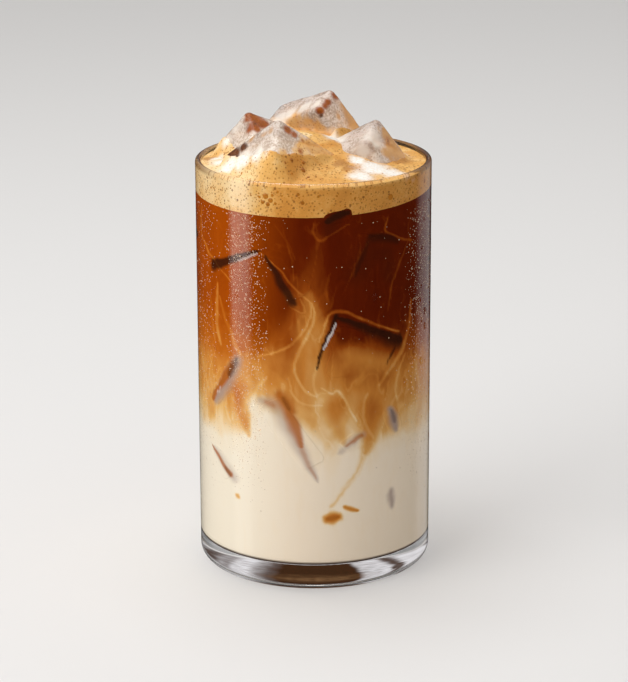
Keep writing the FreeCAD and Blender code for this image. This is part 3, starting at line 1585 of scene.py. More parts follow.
class TopPaint:
    """Round patches of froth, coffee and painted highlights on the foam and the ice above it.

    Each patch is x, y and z of its middle, how far it spreads and how strong it is.
    """

    PATCHES = {
        Tone.WHITE: (
            (-21.6, -17.4, 138.2, 4.6, 1.0), (-16.8, -22.8, 140.6, 3.2, 1.0),
            (-13.6, -26.4, 142.0, 2.0, 0.8), (-26.6, -13.4, 135.4, 4.0, 1.0),
            (-29.5, -3.4, 134.2, 4.4, 0.9), (-8.2, 17.6, 146.2, 3.2, 1.0),
            (-3.3, 14.4, 148.8, 2.9, 1.0), (-11.5, 18.5, 143.8, 3.6, 1.0),
            (0.5, 10.5, 150.2, 2.1, 0.9), (14.9, -24.2, 134.2, 4.6, 0.9),
            (19.3, -16.5, 135.0, 6.4, 1.0), (23.9, -18.6, 134.1, 5.0, 0.9),
            (14.1, -12.5, 136.8, 3.2, 1.0), (9.0, 3.2, 140.3, 4.4, 0.9),
            # The two on the right cube, at 19.2 and 15.8 to the right, are painted highlights.
            (-2.6, -14.8, 145.2, 1.9, 0.6), (19.2, -8.0, 142.4, 3.2, 1.0),
            (15.8, -9.8, 139.6, 2.9, 0.95), (-3.4, 12.7, 143.4, 4.0, 0.42),
            (-24.8, 4.9, 143.3, 3.4, 0.62), (-27.6, 5.8, 138.8, 3.2, 0.7),
            (27.0, 7.0, 133.8, 5.0, 0.62), (-31.0, 2.0, 134.0, 3.0, 0.7),
            (2.0, 24.0, 141.0, 5.0, 0.6), (6.0, 4.0, 139.5, 4.6, 0.9),
        ),
        Tone.TAN: (
            (-1.4, -15.3, 142.8, 4.6, 1.0), (3.5, -13.3, 139.7, 5.5, 1.0),
            (-3.4, -20.0, 142.4, 3.4, 1.0), (-9.2, -25.8, 142.6, 1.8, 0.8),
            (-3.3, -21.4, 140.2, 4.6, 1.0), (-8.9, -27.8, 140.8, 3.6, 1.0),
            (2.5, -16.8, 137.9, 6.0, 1.0), (-3.4, 12.7, 142.6, 4.8, 1.0),
            (-6.1, 14.8, 142.6, 4.8, 1.0), (2.0, 10.0, 141.0, 4.4, 1.0),
            (5.8, 8.8, 140.0, 3.8, 1.0), (-28.0, 6.2, 137.4, 3.6, 0.8),
            (-25.5, 8.0, 141.0, 3.0, 0.6),
        ),
        Tone.ORANGE: (
            (-19.2, 3.0, 147.2, 3.4, 1.0), (-16.9, 3.7, 145.4, 3.6, 1.0),
            (-19.0, -0.4, 144.6, 3.2, 1.0), (-20.8, 3.6, 148.0, 2.0, 0.9),
            (4.6, 11.2, 150.2, 2.0, 0.9), (3.6, 9.6, 149.4, 1.8, 0.9),
            (2.4, 8.0, 148.2, 2.0, 0.9), (7.0, 14.7, 152.0, 2.4, 0.9),
            (-7.9, -19.2, 148.1, 1.7, 0.9), (-5.9, -18.4, 146.3, 1.6, 0.9),
            (-3.8, -21.0, 141.5, 1.8, 0.55), (24.0, -3.0, 140.4, 2.6, 0.5),
            (-3.3, -17.4, 144.2, 1.3, 0.7),
        ),
        Tone.STAIN: (
            (24.4, -2.2, 139.8, 5.4, 1.0), (27.1, -2.2, 135.5, 5.5, 1.0),
            (22.4, -5.6, 136.6, 4.0, 0.9), (23.4, -1.0, 142.6, 3.0, 0.9),
            (12.5, 15.8, 144.2, 4.8, 1.0), (11.5, 17.0, 148.0, 4.4, 1.0),
            (8.8, -16.0, 136.6, 3.4, 0.8), (11.2, -18.4, 135.6, 3.0, 0.9),
            (-33.0, 4.0, 133.8, 3.4, 0.8), (-19.6, -13.7, 143.7, 2.4, 0.7),
            (-14.7, -18.4, 147.0, 3.6, 0.45), (8.4, 12.0, 146.0, 2.6, 0.5),
        ),
        Tone.DARK: (
            (-24.6, -11.4, 138.4, 3.0, 1.0), (-26.2, -8.6, 138.6, 3.2, 1.0),
            (-22.4, -12.4, 141.0, 2.4, 0.9), (2.6, 7.7, 146.9, 0.8, 0.7),
            (-18.4, 1.0, 145.8, 1.1, 0.7), (12.0, 13.8, 141.0, 1.6, 0.5),
        ),
        Tone.CLEAR: (
            (-14.7, -19.4, 146.5, 5.0, 1.0), (-7.9, -22.6, 144.9, 2.6, 1.0),
        ),
    }  # fmt: skip

    # Where a patch's edge starts and ends on its bell, and how much softer froth's edge is.
    EDGE = (0.25, 0.72)
    FROTH_SOFTER = 0.12
    RAGGED = 2.4

    def __init__(self, seed: int) -> None:
        """Makes the noise that frays the patches."""
        self.noise = Noise(seed)

    def cover(self, tone: Tone, places: np.ndarray, fray: float = 0.22) -> np.ndarray:
        """How much of a tone is at each place: the strongest bell over the distance from the
        patches, frayed by noise and brought to a soft edge.

        Args:
            tone: what is asked for.
            places: rows of x, y and z.
            fray: how ragged the edges are.

        Returns:
            A share for each place.
        """
        cover = np.zeros(len(places))
        for right, back, up, spread, strength in self.PATCHES[tone]:
            away = np.linalg.norm(places - np.array([right, back, up]), axis=-1) / spread
            cover = np.maximum(cover, strength * np.exp(-away * away))
        ragged = self.noise.layered(places / self.RAGGED + 3.7 * len(tone.value), 4)
        soft = self.FROTH_SOFTER if tone is Tone.WHITE else 0.0
        start, end = self.EDGE
        return eased_step(cover + fray * ragged, start - soft, end + soft)


@dataclass
class TopIce:
    """The ice cubes that stand out of the foam.

    Attributes:
        rim: the rim's height, from which the cubes' heights count.
        bore: the glass's inside radius.
        clear_of_glass: the gap between a cube and the glass.
        cell: side of a grid cell.
        melt: how uneven melting has left the sides.
    """

    rim: float
    bore: float
    clear_of_glass: float = 0.5
    cell: float = 0.5
    melt: float = 0.28

    # Seed of the first cube's noise, and the sizes of its hollows and of its grain.
    SEED = 40
    HOLLOWS = 5.5
    GRAIN = 0.9

    CUBES = {
        "ice_back": ((26.0, 18.0, 12.0), (0.7, 20.5, 4.1), (138.0, 21.0, -119.0)),
        "ice_left": ((17.5, 20.0, 14.7), (-17.1, 6.7, 0.6), (147.0, 47.0, -145.0)),
        "ice_front": ((27.0, 27.5, 16.0), (-10.2, -12.8, -2.7), (143.0, 34.0, -137.0)),
        "ice_right": ((20.8, 22.5, 15.0), (17.2, 0.2, -3.3), (151.0, 28.0, -113.0)),
    }
    COATS = {
        "ice_back": Coat(141.5, right=-0.10, back=-0.10),
        "ice_left": Coat(137.0, right=-0.20, back=0.10),
        "ice_front": Coat(138.2, right=0.0, back=-0.30),
        "ice_right": Coat(135.8, right=-0.10, back=0.15),
    }

    # How much longer a cube looks than its solid, and how far its middle moves for that.
    GROWN = {"ice_back": ((0.0, 1.4, 0.0), (0.0, -0.7, 0.0))}

    def cubes(self) -> dict[str, Cube]:
        """The cubes by name, with their middles in the glass's coordinates.

        Returns:
            The cubes by name.
        """
        made = {}
        for name, (size, middle, turn) in self.CUBES.items():
            place = (middle[0], middle[1], middle[2] + self.rim)
            made[name] = Cube(size, place, turn)
        return made

    def build(self, finish: IceFinish, effects: Effects, paint: TopPaint) -> None:
        """Each cube: a rounded box whose points move out and in by layered noise, kept clear of
        the glass.

        Args:
            finish: the ice's finish.
            effects: the shared effects.
            paint: what lies on the ice.
        """
        material = finish.material(effects)
        for number, (name, cube) in enumerate(self.cubes().items()):
            longer, shift = self.GROWN.get(name, ((0.0, 0.0, 0.0), (0.0, 0.0, 0.0)))
            size = tuple(np.array(cube.size) + longer)
            box = Shell.rounded_box(size, cube.rounding, self.cell)
            box.points += np.array(shift)
            outward = box.normals()
            places = cube.out_of(box.points)
            rough = Noise(self.SEED + number)
            melted = rough.layered(places / self.HOLLOWS, 2) - 0.25
            fine = rough.layered(places / self.GRAIN, 2)
            box.points += (self.melt * melted + 0.035 * fine)[:, None] * outward
            places = cube.out_of(box.points)
            out = np.hypot(places[:, 0], places[:, 1])
            room = self.bore - self.clear_of_glass
            places[:, :2] *= np.minimum(1, room / np.maximum(out, 1e-9))[:, None]
            bare = 1 - paint.cover(Tone.CLEAR, places)
            coat = paint.cover(Tone.TAN, places) * bare
            tones = [paint.cover(tone, places) for tone in (Tone.WHITE, Tone.ORANGE, Tone.STAIN)]
            on_ice = np.stack([coat, *tones], axis=-1)
            dark = paint.cover(Tone.DARK, places)
            made = Shell(places, box.faces).piece(f"rough_{name}", material, coat=on_ice, dark=dark)
            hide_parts(name)


@dataclass
class FoamHead:
    """The head of foam, which fills the glass below the rim and is draped over the ice.

    Attributes:
        layers: the layers that it lies on.
        ice: the ice that it is draped over.
        tones: what is painted on it.
        heaps: x, y, rise and spread of each heap.
        heaps_fade: how suddenly the heaps end at the wall.
        fillet: how softly the foam runs up to the ice.
        bank: the steepest slope of foam, as its fall over its width.
        bank_reach: how far from a drop the foam is banked up.
        grid: side of a cell of the square grid that the height is worked out on.
    """

    layers: Layers
    ice: TopIce
    tones: TopPaint
    heaps: tuple = ((-4.0, 3.0, 9.0, 12.0), (-9.0, -22.0, 4.0, 7.5), (14.0, -10.0, 2.0, 9.0))
    heaps_fade: int = 6
    fillet: float = 1.1
    bank: float = 1.5
    bank_reach: float = 7.0
    grid: float = 0.4

    # A height over all the ice, the size and the height of the lumps, the level strip at the wall, the
    # rings on the top, and the middle and the edges of the side where light is painted.
    OVER_ICE = 165.0
    LUMPS = (3.2, 0.22)
    LEVEL_STRIP = 3.2
    TOP_RINGS = 92
    LIT_SIDE = -75
    LIT_EDGES = (30, 75)

    def __post_init__(self) -> None:
        """Makes the noise, and works the height out once on a square grid."""
        self.lumps = Noise(7)
        self.across = np.arange(-self.layers.skin - 1, self.layers.skin + 1, self.grid)
        self.heights = self.surface(*np.meshgrid(self.across, self.across, indexing="ij"))

    def open_height(self, x: np.ndarray, y: np.ndarray) -> np.ndarray:
        """The foam's height away from the ice: its level, and heaps that fade at the wall.

        Args:
            x: places to the right.
            y: places to the back.

        Returns:
            The heights.
        """
        heaped = np.zeros(x.shape)
        for middle_x, middle_y, rise, spread in self.heaps:
            away = np.hypot(x - middle_x, y - middle_y) / spread
            heaped += rise * np.exp(-away * away / 2)
        outward = np.minimum(1, np.hypot(x, y) / self.layers.glass.bore)
        return self.layers.foam_level + heaped * (1 - outward**self.heaps_fade)

    def banked(self, height: np.ndarray) -> np.ndarray:
        """Heights with foam banked up below every drop, so that no slope is steeper than the
        bank: each one is at least its neighbour's less the bank's fall over the distance.

        Args:
            height: heights on the square grid.

        Returns:
            The raised heights.
        """
        for _ in range(round(self.bank_reach / self.grid)):
            for right, back in product((-1, 0, 1), repeat=2):
                fall = self.bank * self.grid * math.hypot(right, back)
                height = np.maximum(height, np.roll(height, (right, back), (0, 1)) - fall)
        return height

    def surface(self, x: np.ndarray, y: np.ndarray) -> np.ndarray:
        """The foam's height: the higher of the open foam and of its coat on each cube, blended
        softly, with small lumps.

        Args:
            x: places to the right, on the square grid.
            y: places to the back.

        Returns:
            The heights.
        """
        flat = np.stack([x, y, np.zeros(x.shape)], axis=-1)
        edge = self.lumps.layered(flat / self.LUMPS[0], 3)
        height = self.open_height(x, y)
        for name, cube in self.ice.cubes().items():
            coat = self.ice.COATS[name]
            top = cube.top(x, y, self.OVER_ICE)
            line = coat.line + coat.right * (x - cube.middle[0]) + coat.back * (y - cube.middle[1])
            lies = 1 - eased_step(top - line - 0.5 * edge, -0.6, 0.6)
            draped = np.where(lies > 0.02, top + coat.thick * (1.4 * lies - 0.4), 0.0)
            gap = self.banked(draped) - height
            blend = np.maximum(self.fillet - np.abs(gap), 0)
            height = np.maximum(height, height + gap) + blend**2 / (4 * self.fillet)
        bore = self.layers.glass.bore
        near_wall = eased_step(np.hypot(x, y), bore - self.LEVEL_STRIP, bore)
        height += self.LUMPS[1] * edge * (1 - near_wall)
        return height * (1 - near_wall) + self.layers.foam_level * near_wall

    def height(self, x: np.ndarray, y: np.ndarray) -> np.ndarray:
        """The foam's height at any place, blended between the grid's four nearest.

        Args:
            x: places to the right.
            y: places to the back.

        Returns:
            The heights.
        """
        right = np.clip((x - self.across[0]) / self.grid, 0, len(self.across) - 1.001)
        back = np.clip((y - self.across[0]) / self.grid, 0, len(self.across) - 1.001)
        i, j = right.astype(int), back.astype(int)
        u, v = right - i, back - j
        near = self.heights[i, j] * (1 - u) + self.heights[i + 1, j] * u
        far = self.heights[i, j + 1] * (1 - u) + self.heights[i + 1, j + 1] * u
        return near * (1 - v) + far * v

    def slope(self, x: np.ndarray, y: np.ndarray, step: float = 0.3) -> np.ndarray:
        """The foam's outward direction, from the heights a small step to each side.

        Args:
            x: places to the right.
            y: places to the back.
            step: the step.

        Returns:
            Rows of x, y and z, each 1 long.
        """
        right = (self.height(x + step, y) - self.height(x - step, y)) / (2 * step)
        back = (self.height(x, y + step) - self.height(x, y - step)) / (2 * step)
        outward = np.stack([-right, -back, np.ones(x.shape)], axis=-1)
        return outward / np.linalg.norm(outward, axis=-1, keepdims=True)

    def paint(self, places: np.ndarray) -> np.ndarray:
        """White froth, brown clouds and how pricked the foam is, at each place.

        Args:
            places: rows of x, y and z.

        Returns:
            A colour for each place: white, brown, pricked, and painted light from the side and on top.
        """
        on_top = eased_step(places[:, 2], self.layers.foam_level - 1.2, self.layers.foam_level)
        white = self.tones.cover(Tone.WHITE, places, 0.15)
        depth = np.min([cube.distance(places) for cube in self.ice.cubes().values()], axis=0)
        white = np.maximum(white, 0.6 * on_top * (1 - eased_step(depth, -0.6, -0.1)))
        brown = np.maximum(
            0.7 * self.tones.cover(Tone.STAIN, places), self.tones.cover(Tone.ORANGE, places)
        )
        pricked = 1 - 0.85 * white
        # Painted light: strongest on the left, and half as strong over the top.
        angle = np.degrees(np.arctan2(places[:, 0], -places[:, 1]))
        aside = np.abs(nearest_turn(angle - self.LIT_SIDE))
        lit = np.maximum(1 - eased_step(aside, *self.LIT_EDGES), 0.5 * on_top)
        return np.stack([white, brown, pricked, lit], axis=-1)

    def build(self, finish: FoamFinish, effects: Effects) -> None:
        """The foam: rings over its top, down the wall, and under it on the coffee's face.

        Args:
            finish: its finish.
            effects: the shared effects.
        """
        skin = self.layers.skin
        radii = np.linspace(0, skin, self.TOP_RINGS)
        top = self.layers.face(self.height, radii)
        under = self.layers.face(self.layers.coffee_face, np.array([skin, self.layers.INNER_RING, 0.0]))
        rings = np.concatenate([top, self.layers.wall(top[-1], under[0]), under[1:]])
        shell = Shell.turned(rings)
        made = shell.piece("foam_head", finish.material(effects), froth=self.paint(shell.points))
        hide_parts("foam")


@dataclass(frozen=True)
class SunkCube:
    """An ice cube in the drink, which has melted flat where it is pressed to the glass.

    Attributes:
        angle: where it touches the glass.
        height: height of its middle.
        size: its width along the wall, its depth and its height, before it is turned.
        turn: yaw, pitch and roll in degrees, as seen from outside at the front.
        pressed: how much of its depth is melted away at the wall.
    """

    angle: float
    height: float
    size: tuple
    turn: tuple
    pressed: float


@dataclass
class SunkIce:
    """The ice in the drink, where it comes to the wall.

    Attributes:
        wall: the radius at which it lies, just outside the skins.
        cell: side of a grid cell.
        rounding: radius of the cubes' edges.
    """

    wall: float
    cell: float = 0.62
    rounding: float = 2.4

    CUBES = (
        SunkCube(-44, 103, (18, 14, 14), (14, -19, 12), 0.5),
        SunkCube(-17, 100, (15, 13, 20), (-16, 42, 0), 0.6),
        SunkCube(12, 124.2, (9.2, 8, 4.4), (0, -13, 0), 1.1),
        SunkCube(33, 109, (18, 15, 18), (0, 12, 8), 0.8),
        SunkCube(25, 79, (22, 17, 17), (4, 14, 5), 1.6),
        SunkCube(-51, 67, (9, 14, 19), (0, 42, 0), 0.7),
        SunkCube(-12, 53, (10, 15, 26), (4, -33, 0), 0.8),
        SunkCube(-54, 39, (7, 12, 13), (0, -40, 0), 0.4),
        SunkCube(19, 50, (9, 11, 8), (0, -35, 0), 0.3),
        SunkCube(43, 55, (8, 12, 12), (0, -20, 0), 0.4),
        SunkCube(100, 98, (20, 15, 17), (5, 22, 6), 1.1),
        SunkCube(118, 62, (10, 14, 18), (0, -38, 0), 0.6),
        SunkCube(146, 104, (19, 16, 18), (-6, -14, 4), 1.2),
        SunkCube(168, 76, (18, 15, 16), (0, 30, 0), 1.0),
        SunkCube(-164, 47, (9, 13, 19), (0, 36, 0), 0.5),
        SunkCube(-150, 98, (19, 15, 18), (0, -24, 5), 1.1),
        SunkCube(-122, 84, (16, 14, 18), (0, 18, 0), 0.9),
        SunkCube(-104, 56, (9, 13, 17), (0, -34, 0), 0.5),
        SunkCube(-92, 108, (17, 14, 14), (0, 28, 8), 0.8),
    )

    def block(self, cube: SunkCube) -> Shell:
        """A rounded box, moved out until it reaches past the wall by what is pressed, with each
        point that is past the wall brought back to it.

        Args:
            cube: the cube.

        Returns:
            Its surface, in the glass's place.
        """
        rounding = min(self.rounding, 0.45 * min(cube.size))
        box = Shell.rounded_box(cube.size, rounding, self.cell)
        melted = Noise(round(cube.height * 7 + cube.angle)).layered(box.points / 5, 2)
        points = (box.points + 0.25 * melted[:, None] * box.normals()) @ turning(*cube.turn).T
        points = points @ turning(cube.angle, 0, 0).T
        way = wall_place(np.array(cube.angle), np.array(0.0), np.array(1.0))
        points += way * (self.wall + cube.pressed - (points @ way).max())
        points[:, 2] += cube.height
        out = np.hypot(points[:, 0], points[:, 1])
        points[:, :2] *= np.minimum(1, self.wall / out)[:, None]
        return Shell(points, box.faces)

    def build(self, finish: DrinkFinish, effects: Effects, painter: Painter) -> None:
        """All the cubes as one piece, painted as the drink is.

        Args:
            finish: its finish.
            effects: the shared effects.
            painter: what shows at the wall.
        """
        shell = Shell.joined([self.block(cube) for cube in self.CUBES])
        paint = painter.paint(shell.points)
        made = shell.piece("sunk_ice", finish.material(effects), **paint)


class Sights:
    """What can be seen in the drink through the glass: threads of milk, and sunk ice.

    Each thread is its path, half its width and its strength. Each edge of ice at the front is a
    stroke's path, widths, strength and softness. Each far edge is what far_edge asks for.
    """

    THREADS = (
        (((-71, 122), (-74.2, 114), (-66, 108.8), (-53.1, 104.2), (-45.3, 101.0)), 0.42, 0.8),
        (((-54.7, 99), (-56.4, 91), (-56, 84.1), (-52.6, 79.3)), 0.9, 0.75),
        (((-53.5, 95), (-48.5, 87.5), (-43.2, 80.7), (-39, 77.5)), 0.8, 0.5),
        (((-62, 96), (-61, 87), (-58, 80)), 0.7, 0.3),
        (((-28, 112.4), (-17.2, 107.2), (-9.5, 101.6), (-1.5, 97.3)), 0.38, 0.65),
        (((-1.5, 97.3), (-0.8, 93), (-4.7, 87.8), (-11, 82.9), (-19.2, 79.9), (-28, 78.4)), 0.4, 0.6),
        (((-0.7, 97.1), (1.2, 93), (-3.1, 86.2), (-8.7, 79.4), (-10.6, 74), (-6.4, 68.3),
          (0.7, 66.3)), 0.5, 0.7),
        (((-8, 101), (-3.2, 94), (-6.5, 93.2), (-12, 95.4)), 0.3, 0.45),
        (((-14.6, 121), (-12.3, 114.5), (-10, 109.4), (-9.2, 104.5)), 0.32, 0.3),
        (((-19.8, 122.4), (-13.8, 118), (-8.8, 110.4)), 0.3, 0.25),
        (((0.2, 122.5), (-0.2, 118.8), (3.2, 116.2), (8.5, 118.9), (17.3, 121.8)), 0.42, 0.5),
        (((39.5, 122.5), (36.4, 117.9), (47.1, 114.5), (58.9, 112.4)), 0.42, 0.5),
        (((36, 118.2), (27.4, 115.8), (21.5, 109.8), (17.3, 102.8), (14.1, 98.8)), 0.32, 0.3),
        (((53.2, 112.7), (45, 104.9), (40.7, 98.7), (38.8, 91.6)), 0.45, 0.3),
        (((7.8, 106.3), (5.8, 101.2), (7.8, 97)), 0.4, 0.25),
        (((2.5, 84), (4.7, 88.7), (7.8, 93.2), (11.7, 94.4), (17.3, 93.3), (25, 90.2),
          (35, 87.0), (46.4, 83.8)), 0.55, 0.8),
        (((56, 93), (55, 86), (51.5, 79.6), (45.5, 75), (38.9, 71.5), (34, 67.8)), 0.8, 0.6),
        (((51.3, 76.1), (46.5, 70.5), (44.3, 64.4), (45.5, 61)), 0.5, 0.5),
        (((1.5, 76.2), (-0.1, 73.1), (-0.9, 69.9), (1.4, 66.3)), 0.45, 0.65),
        (((3.6, 68.9), (9.3, 66.3), (11.7, 68.6), (15, 65.6), (18, 61.5), (21.6, 57.0)), 0.5, 0.8),
        (((-13, 72), (-11, 66), (-4, 62.6), (4, 63.2)), 0.4, 0.45),
        (((27.5, 66), (24.5, 61), (27.3, 55), (31, 50.5)), 0.5, 0.45),
        (((-24, 71.5), (-30.5, 66.8), (-33.5, 60), (-32.8, 54)), 0.7, 0.4),
        (((62, 80), (60, 70), (66, 62)), 0.7, 0.35),
        (((25.9, 47.5), (22.8, 38.9), (14.1, 34.6), (8.5, 30.0)), 0.28, 0.45),
        (((92, 121), (88, 112), (96, 104), (110, 99), (116, 92)), 0.45, 0.6),
        (((84, 104), (90, 95), (87, 86), (94, 78)), 0.6, 0.5),
        (((120, 118), (128, 108), (126, 98), (134, 90), (131, 80)), 0.5, 0.5),
        (((132, 115), (146, 118), (158, 112), (164, 102), (158, 93)), 0.5, 0.6),
        (((176, 121), (170, 110), (176, 99), (172, 88), (179, 79)), 0.55, 0.5),
        (((-158, 116), (-166, 106), (-160, 92), (-150, 87), (-140, 91)), 0.5, 0.6),
        (((-138, 120), (-132, 108), (-136, 98), (-128, 92), (-118, 95)), 0.45, 0.5),
        (((-112, 117), (-104, 110), (-98, 100), (-86, 97), (-80, 88)), 0.5, 0.55),
        (((-106, 84), (-98, 76), (-102, 68), (-94, 62)), 0.6, 0.5),
        (((108, 76), (114, 70), (110, 63), (116, 58)), 0.6, 0.45),
        (((150, 80), (158, 72), (154, 64), (162, 58)), 0.6, 0.45),
        (((-174, 74), (-168, 66), (-174, 60), (-166, 54)), 0.6, 0.45),
        (((-146, 72), (-138, 66), (-142, 58)), 0.6, 0.45),
    )  # fmt: skip
    EDGES = {
        Ink.DARK: (
            (((-58, 104.6), (-47, 107.4), (-38, 109.8), (-27.6, 112.6)),
             (1.9, 1.15, 0.3), 0.92, (0.35, 0.45)),
            (((-24.8, 110.9), (-19.2, 105.6), (-14.2, 100.8), (-10.4, 97.2)),
             (0.35, 1.35, 1.75), 0.9, (0.3, 0.8)),
            (((17.4, 125.7), (12, 124.9), (6.6, 122.9)), (0.7, 1.35, 0.9), 0.93, (0.4, 0.5)),
            (((9.5, 123.2), (6.4, 119.4)), (2.2, 2.6, 1.4), 0.34, (1, 1)),
            (((28.6, 116.6), (36.3, 116.2), (45.2, 113.6)), (1.2, 1.5, 0.6), 0.72, (0.35, 1.0)),
            (((27.8, 115.6), (23.9, 110.5), (20.5, 105.0)), (0.7, 0.95, 0.4), 0.62, (0.9, 0.5)),
            (((22, 106), (28, 112), (38, 111), (40, 103)), (3.4, 3.4, 2.0), 0.25, (1, 1)),
            (((11.7, 91.9), (20.2, 89.3), (34.1, 84.5), (46.2, 80.6)),
             (0.45, 1.35, 2.1), 0.92, (0.25, 0.95)),
            (((11.5, 92.6), (7.6, 86.5), (3.8, 80.9), (1.3, 75.2)),
             (0.75, 0.75, 0.15), 0.96, (0.6, 0.35)),
            (((46.6, 82.4), (42.3, 77.6), (38.4, 74.4)), (0.9, 0.6, 0.15), 0.75, (0.4, 0.9)),
            (((-41.6, 75.6), (-44.6, 72.6), (-46.6, 69.4)), (0.8, 1.4, 0.5), 0.6, (0.8, 0.8)),
            (((-15.2, 65.2), (-12.4, 61.8)), (0.6, 0.8, 0.5), 0.35, (0.8, 0.8)),
            (((-50.5, 38.4), (-47.0, 35.8)), (0.3, 0.8, 0.5), 0.35),
            (((41.6, 58.2), (44.2, 54.2)), (0.5, 0.9, 0.4), 0.45, (0.9, 0.9)),
        ),
        # Painted highlights on the edges of sunk ice.
        Ink.GLINT: (
            (((-40, 108.3), (-34, 109.9), (-28.6, 111.7)), (0.15, 0.28, 0.18), 0.6),
            (((10.9, 90.0), (7.9, 85.7), (4.9, 81.7)), (0.22, 0.34, 0.15), 0.85),
            (((-53.2, 64.9), (-55.9, 62.2)), (0.2, 0.3, 0.2), 0.6),
        ),
        Ink.AMBER: (
            (((-12.6, 99.5), (-8.4, 95.6)), (1.4, 1.6, 1.0), 0.35, (0.7, 0.8)),
            (((-44.4, 73.8), (-48.8, 69.4), (-53.6, 65.2)), (0.9, 1.5, 1.0), 0.95, (0.5, 0.4)),
            (((-55.6, 64.2), (-58.4, 62.0), (-61.2, 59.4)), (0.8, 1.1, 0.6), 0.9),
            (((-24.0, 63.4), (-20.4, 62.4)), (0.8, 1.0, 0.7), 0.5, (0.9, 0.9)),
            (((-17.2, 66.4), (-13.9, 63.8), (-11.6, 61.0)), (1.5, 2.1, 1.6), 0.92, (0.8, 0.8)),
            (((-13.6, 61.6), (-11.2, 57.4), (-8.4, 53.2), (-6.2, 49.0)),
             (1.1, 1.9, 0.5), 0.86, (0.4, 0.95)),
            (((-6.0, 48.2), (-2.6, 43.0), (0.8, 38.2)), (0.7, 0.6, 0.1), 0.42, (0.8, 1.0)),
            (((-62.6, 43.4), (-54.2, 40.0), (-46.6, 36.0)), (0.15, 0.75, 1.0), 0.85, (0.6, 0.5)),
            (((24.6, 52.2), (20, 50.9), (15.6, 48.6)), (0.6, 0.7, 0.2), 0.72, (0.8, 0.8)),
        ),
        Ink.LILAC: (
            (((-40.8, 75.4), (-46, 69.4), (-52, 63.6), (-58.5, 59.4)), (1.6, 2.3, 1.3), 0.85, (1.0, 0.8)),
            (((-27.4, 63.6), (-20, 63.2), (-14, 57.5), (-7, 49), (1.6, 37.2)),
             (1.3, 2.9, 0.25), 0.58, (0.9, 0.9)),
            (((-60.5, 42.8), (-51.6, 39.4), (-44.4, 35.4)), (0.6, 1.7, 1.6), 0.5, (1.1, 0.8)),
            (((25.4, 52.6), (19, 50.2), (12.4, 46.8)), (1.0, 1.4, 0.5), 0.45, (1, 1)),
            (((40.6, 58.8), (43, 55.6), (45.2, 51.6)), (1.0, 1.7, 0.8), 0.95, (0.8, 0.9)),
            (((42, 31.2), (42.2, 25.8)), (0.9, 1.3, 0.9), 0.85, (1.2, 1.2)),
        ),
        Ink.MILK: (
            (((-31.5, 60.5), (-27.5, 56), (-24, 49)), (3.4, 3.6, 3.4), 0.8, (1, 1)),
            (((17, 80), (25, 76.5), (37, 75)), (2.2, 4.2, 3.0), 0.3, (1, 1)),
            (((-1.5, 99), (1.8, 90), (-2.5, 78), (4, 66)), (1.4, 3.2, 3.6), 0.16, (1, 1)),
        ),
        Ink.COFFEE: (
            (((-43.2, 29.5), (-41.8, 28.9)), (0.5, 0.8, 0.5), 0.4, (1, 1)),
            (((6.6, 24.9), (11.8, 25.2)), (1.4, 1.9, 1.3), 0.6, (0.9, 0.9)),
            (((15.2, 28.4), (21.9, 26.4)), (0.6, 0.8, 0.4), 0.5, (0.9, 0.9)),
            (((27, 53), (25.2, 46), (22.0, 39.5), (14.1, 34.0), (8.5, 29.0)),
             (1.6, 0.8, 0.5), 0.2, (1, 1)),
            (((-40.5, 66), (-37.6, 58), (-34.8, 50.8)), (3.0, 2.0, 0.6), 0.3, (1, 1)),
            (((10, 62), (13.4, 54), (15, 50)), (2.6, 2.0, 0.8), 0.25, (1, 1)),
            (((30, 60), (29, 52), (26, 46)), (3.2, 2.6, 1.2), 0.3, (1, 1)),
        ),
    }  # fmt: skip
    FAR_EDGES = (
        (96, 106, 16, 24, 1.5, False), (112, 98, -58, 15, 1.2, False),
        (116, 63, 52, 16, 1.9, True), (146, 112, -12, 18, 1.5, False),
        (134, 103, 66, 15, 1.1, False), (166, 84, 28, 15, 1.7, False),
        (-164, 48, -50, 17, 1.8, True), (-150, 106, 24, 17, 1.5, False),
        (-138, 98, -60, 15, 1.2, False), (-122, 92, -18, 15, 1.5, False),
        (-105, 57, 54, 15, 1.8, True), (-92, 114, -26, 15, 1.3, False),
        (142, 40, -60, 10, 1.1, True), (-128, 36, 56, 9, 1.0, True),
        (90, 38, -52, 11, 1.2, True), (178, 30, 40, 7, 1.0, True),
    )  # fmt: skip

    def __init__(self, degree: float) -> None:
        """Keeps how long one degree is on the wall."""
        self.degree = degree

    def thread(self, path: tuple, half: float, strength: float) -> Stroke:
        """A thread that is thinner at its ends."""
        return Stroke(Ink.THREAD, path, (0.5 * half, half, 0.6 * half), strength, (0.7, 0.8))

    def far_edge(
        self, angle: float, height: float, lean: float, long: float, half: float, in_milk: bool
    ) -> list[Stroke]:
        """The strokes of one edge of sunk ice on the sides or the back.

        Args:
            angle: where its middle is.
            height: height of its middle.
            lean: degrees from level, rising to the right.
            long: its length.
            half: half its width.
            in_milk: whether milk lies round it, instead of coffee.

        Returns:
            A clouded amber strip in milk, or a dark strip with a bright edge in coffee.
        """
        along = 0.5 * long * math.cos(math.radians(lean)) / self.degree
        up = 0.5 * long * math.sin(math.radians(lean))
        path = ((angle - along, height - up), (angle, height), (angle + along, height + up))
        if in_milk:
            return [
                Stroke(Ink.LILAC, path, (0.8 * half, 1.5 * half, 0.5 * half), 0.8, (1, 1)),
                Stroke(Ink.AMBER, path, (0.5 * half, half, 0.2 * half), 0.9, (0.3, 0.9)),
            ]
        over = tuple((place, level + 1.15 * half) for place, level in path)
        return [
            Stroke(Ink.DARK, path, (0.4 * half, half, 0.8 * half), 0.9, (0.3, 0.9)),
            Stroke(Ink.THREAD, over, (0.3, 0.45, 0.3), 0.6, (0.7, 0.7)),
        ]

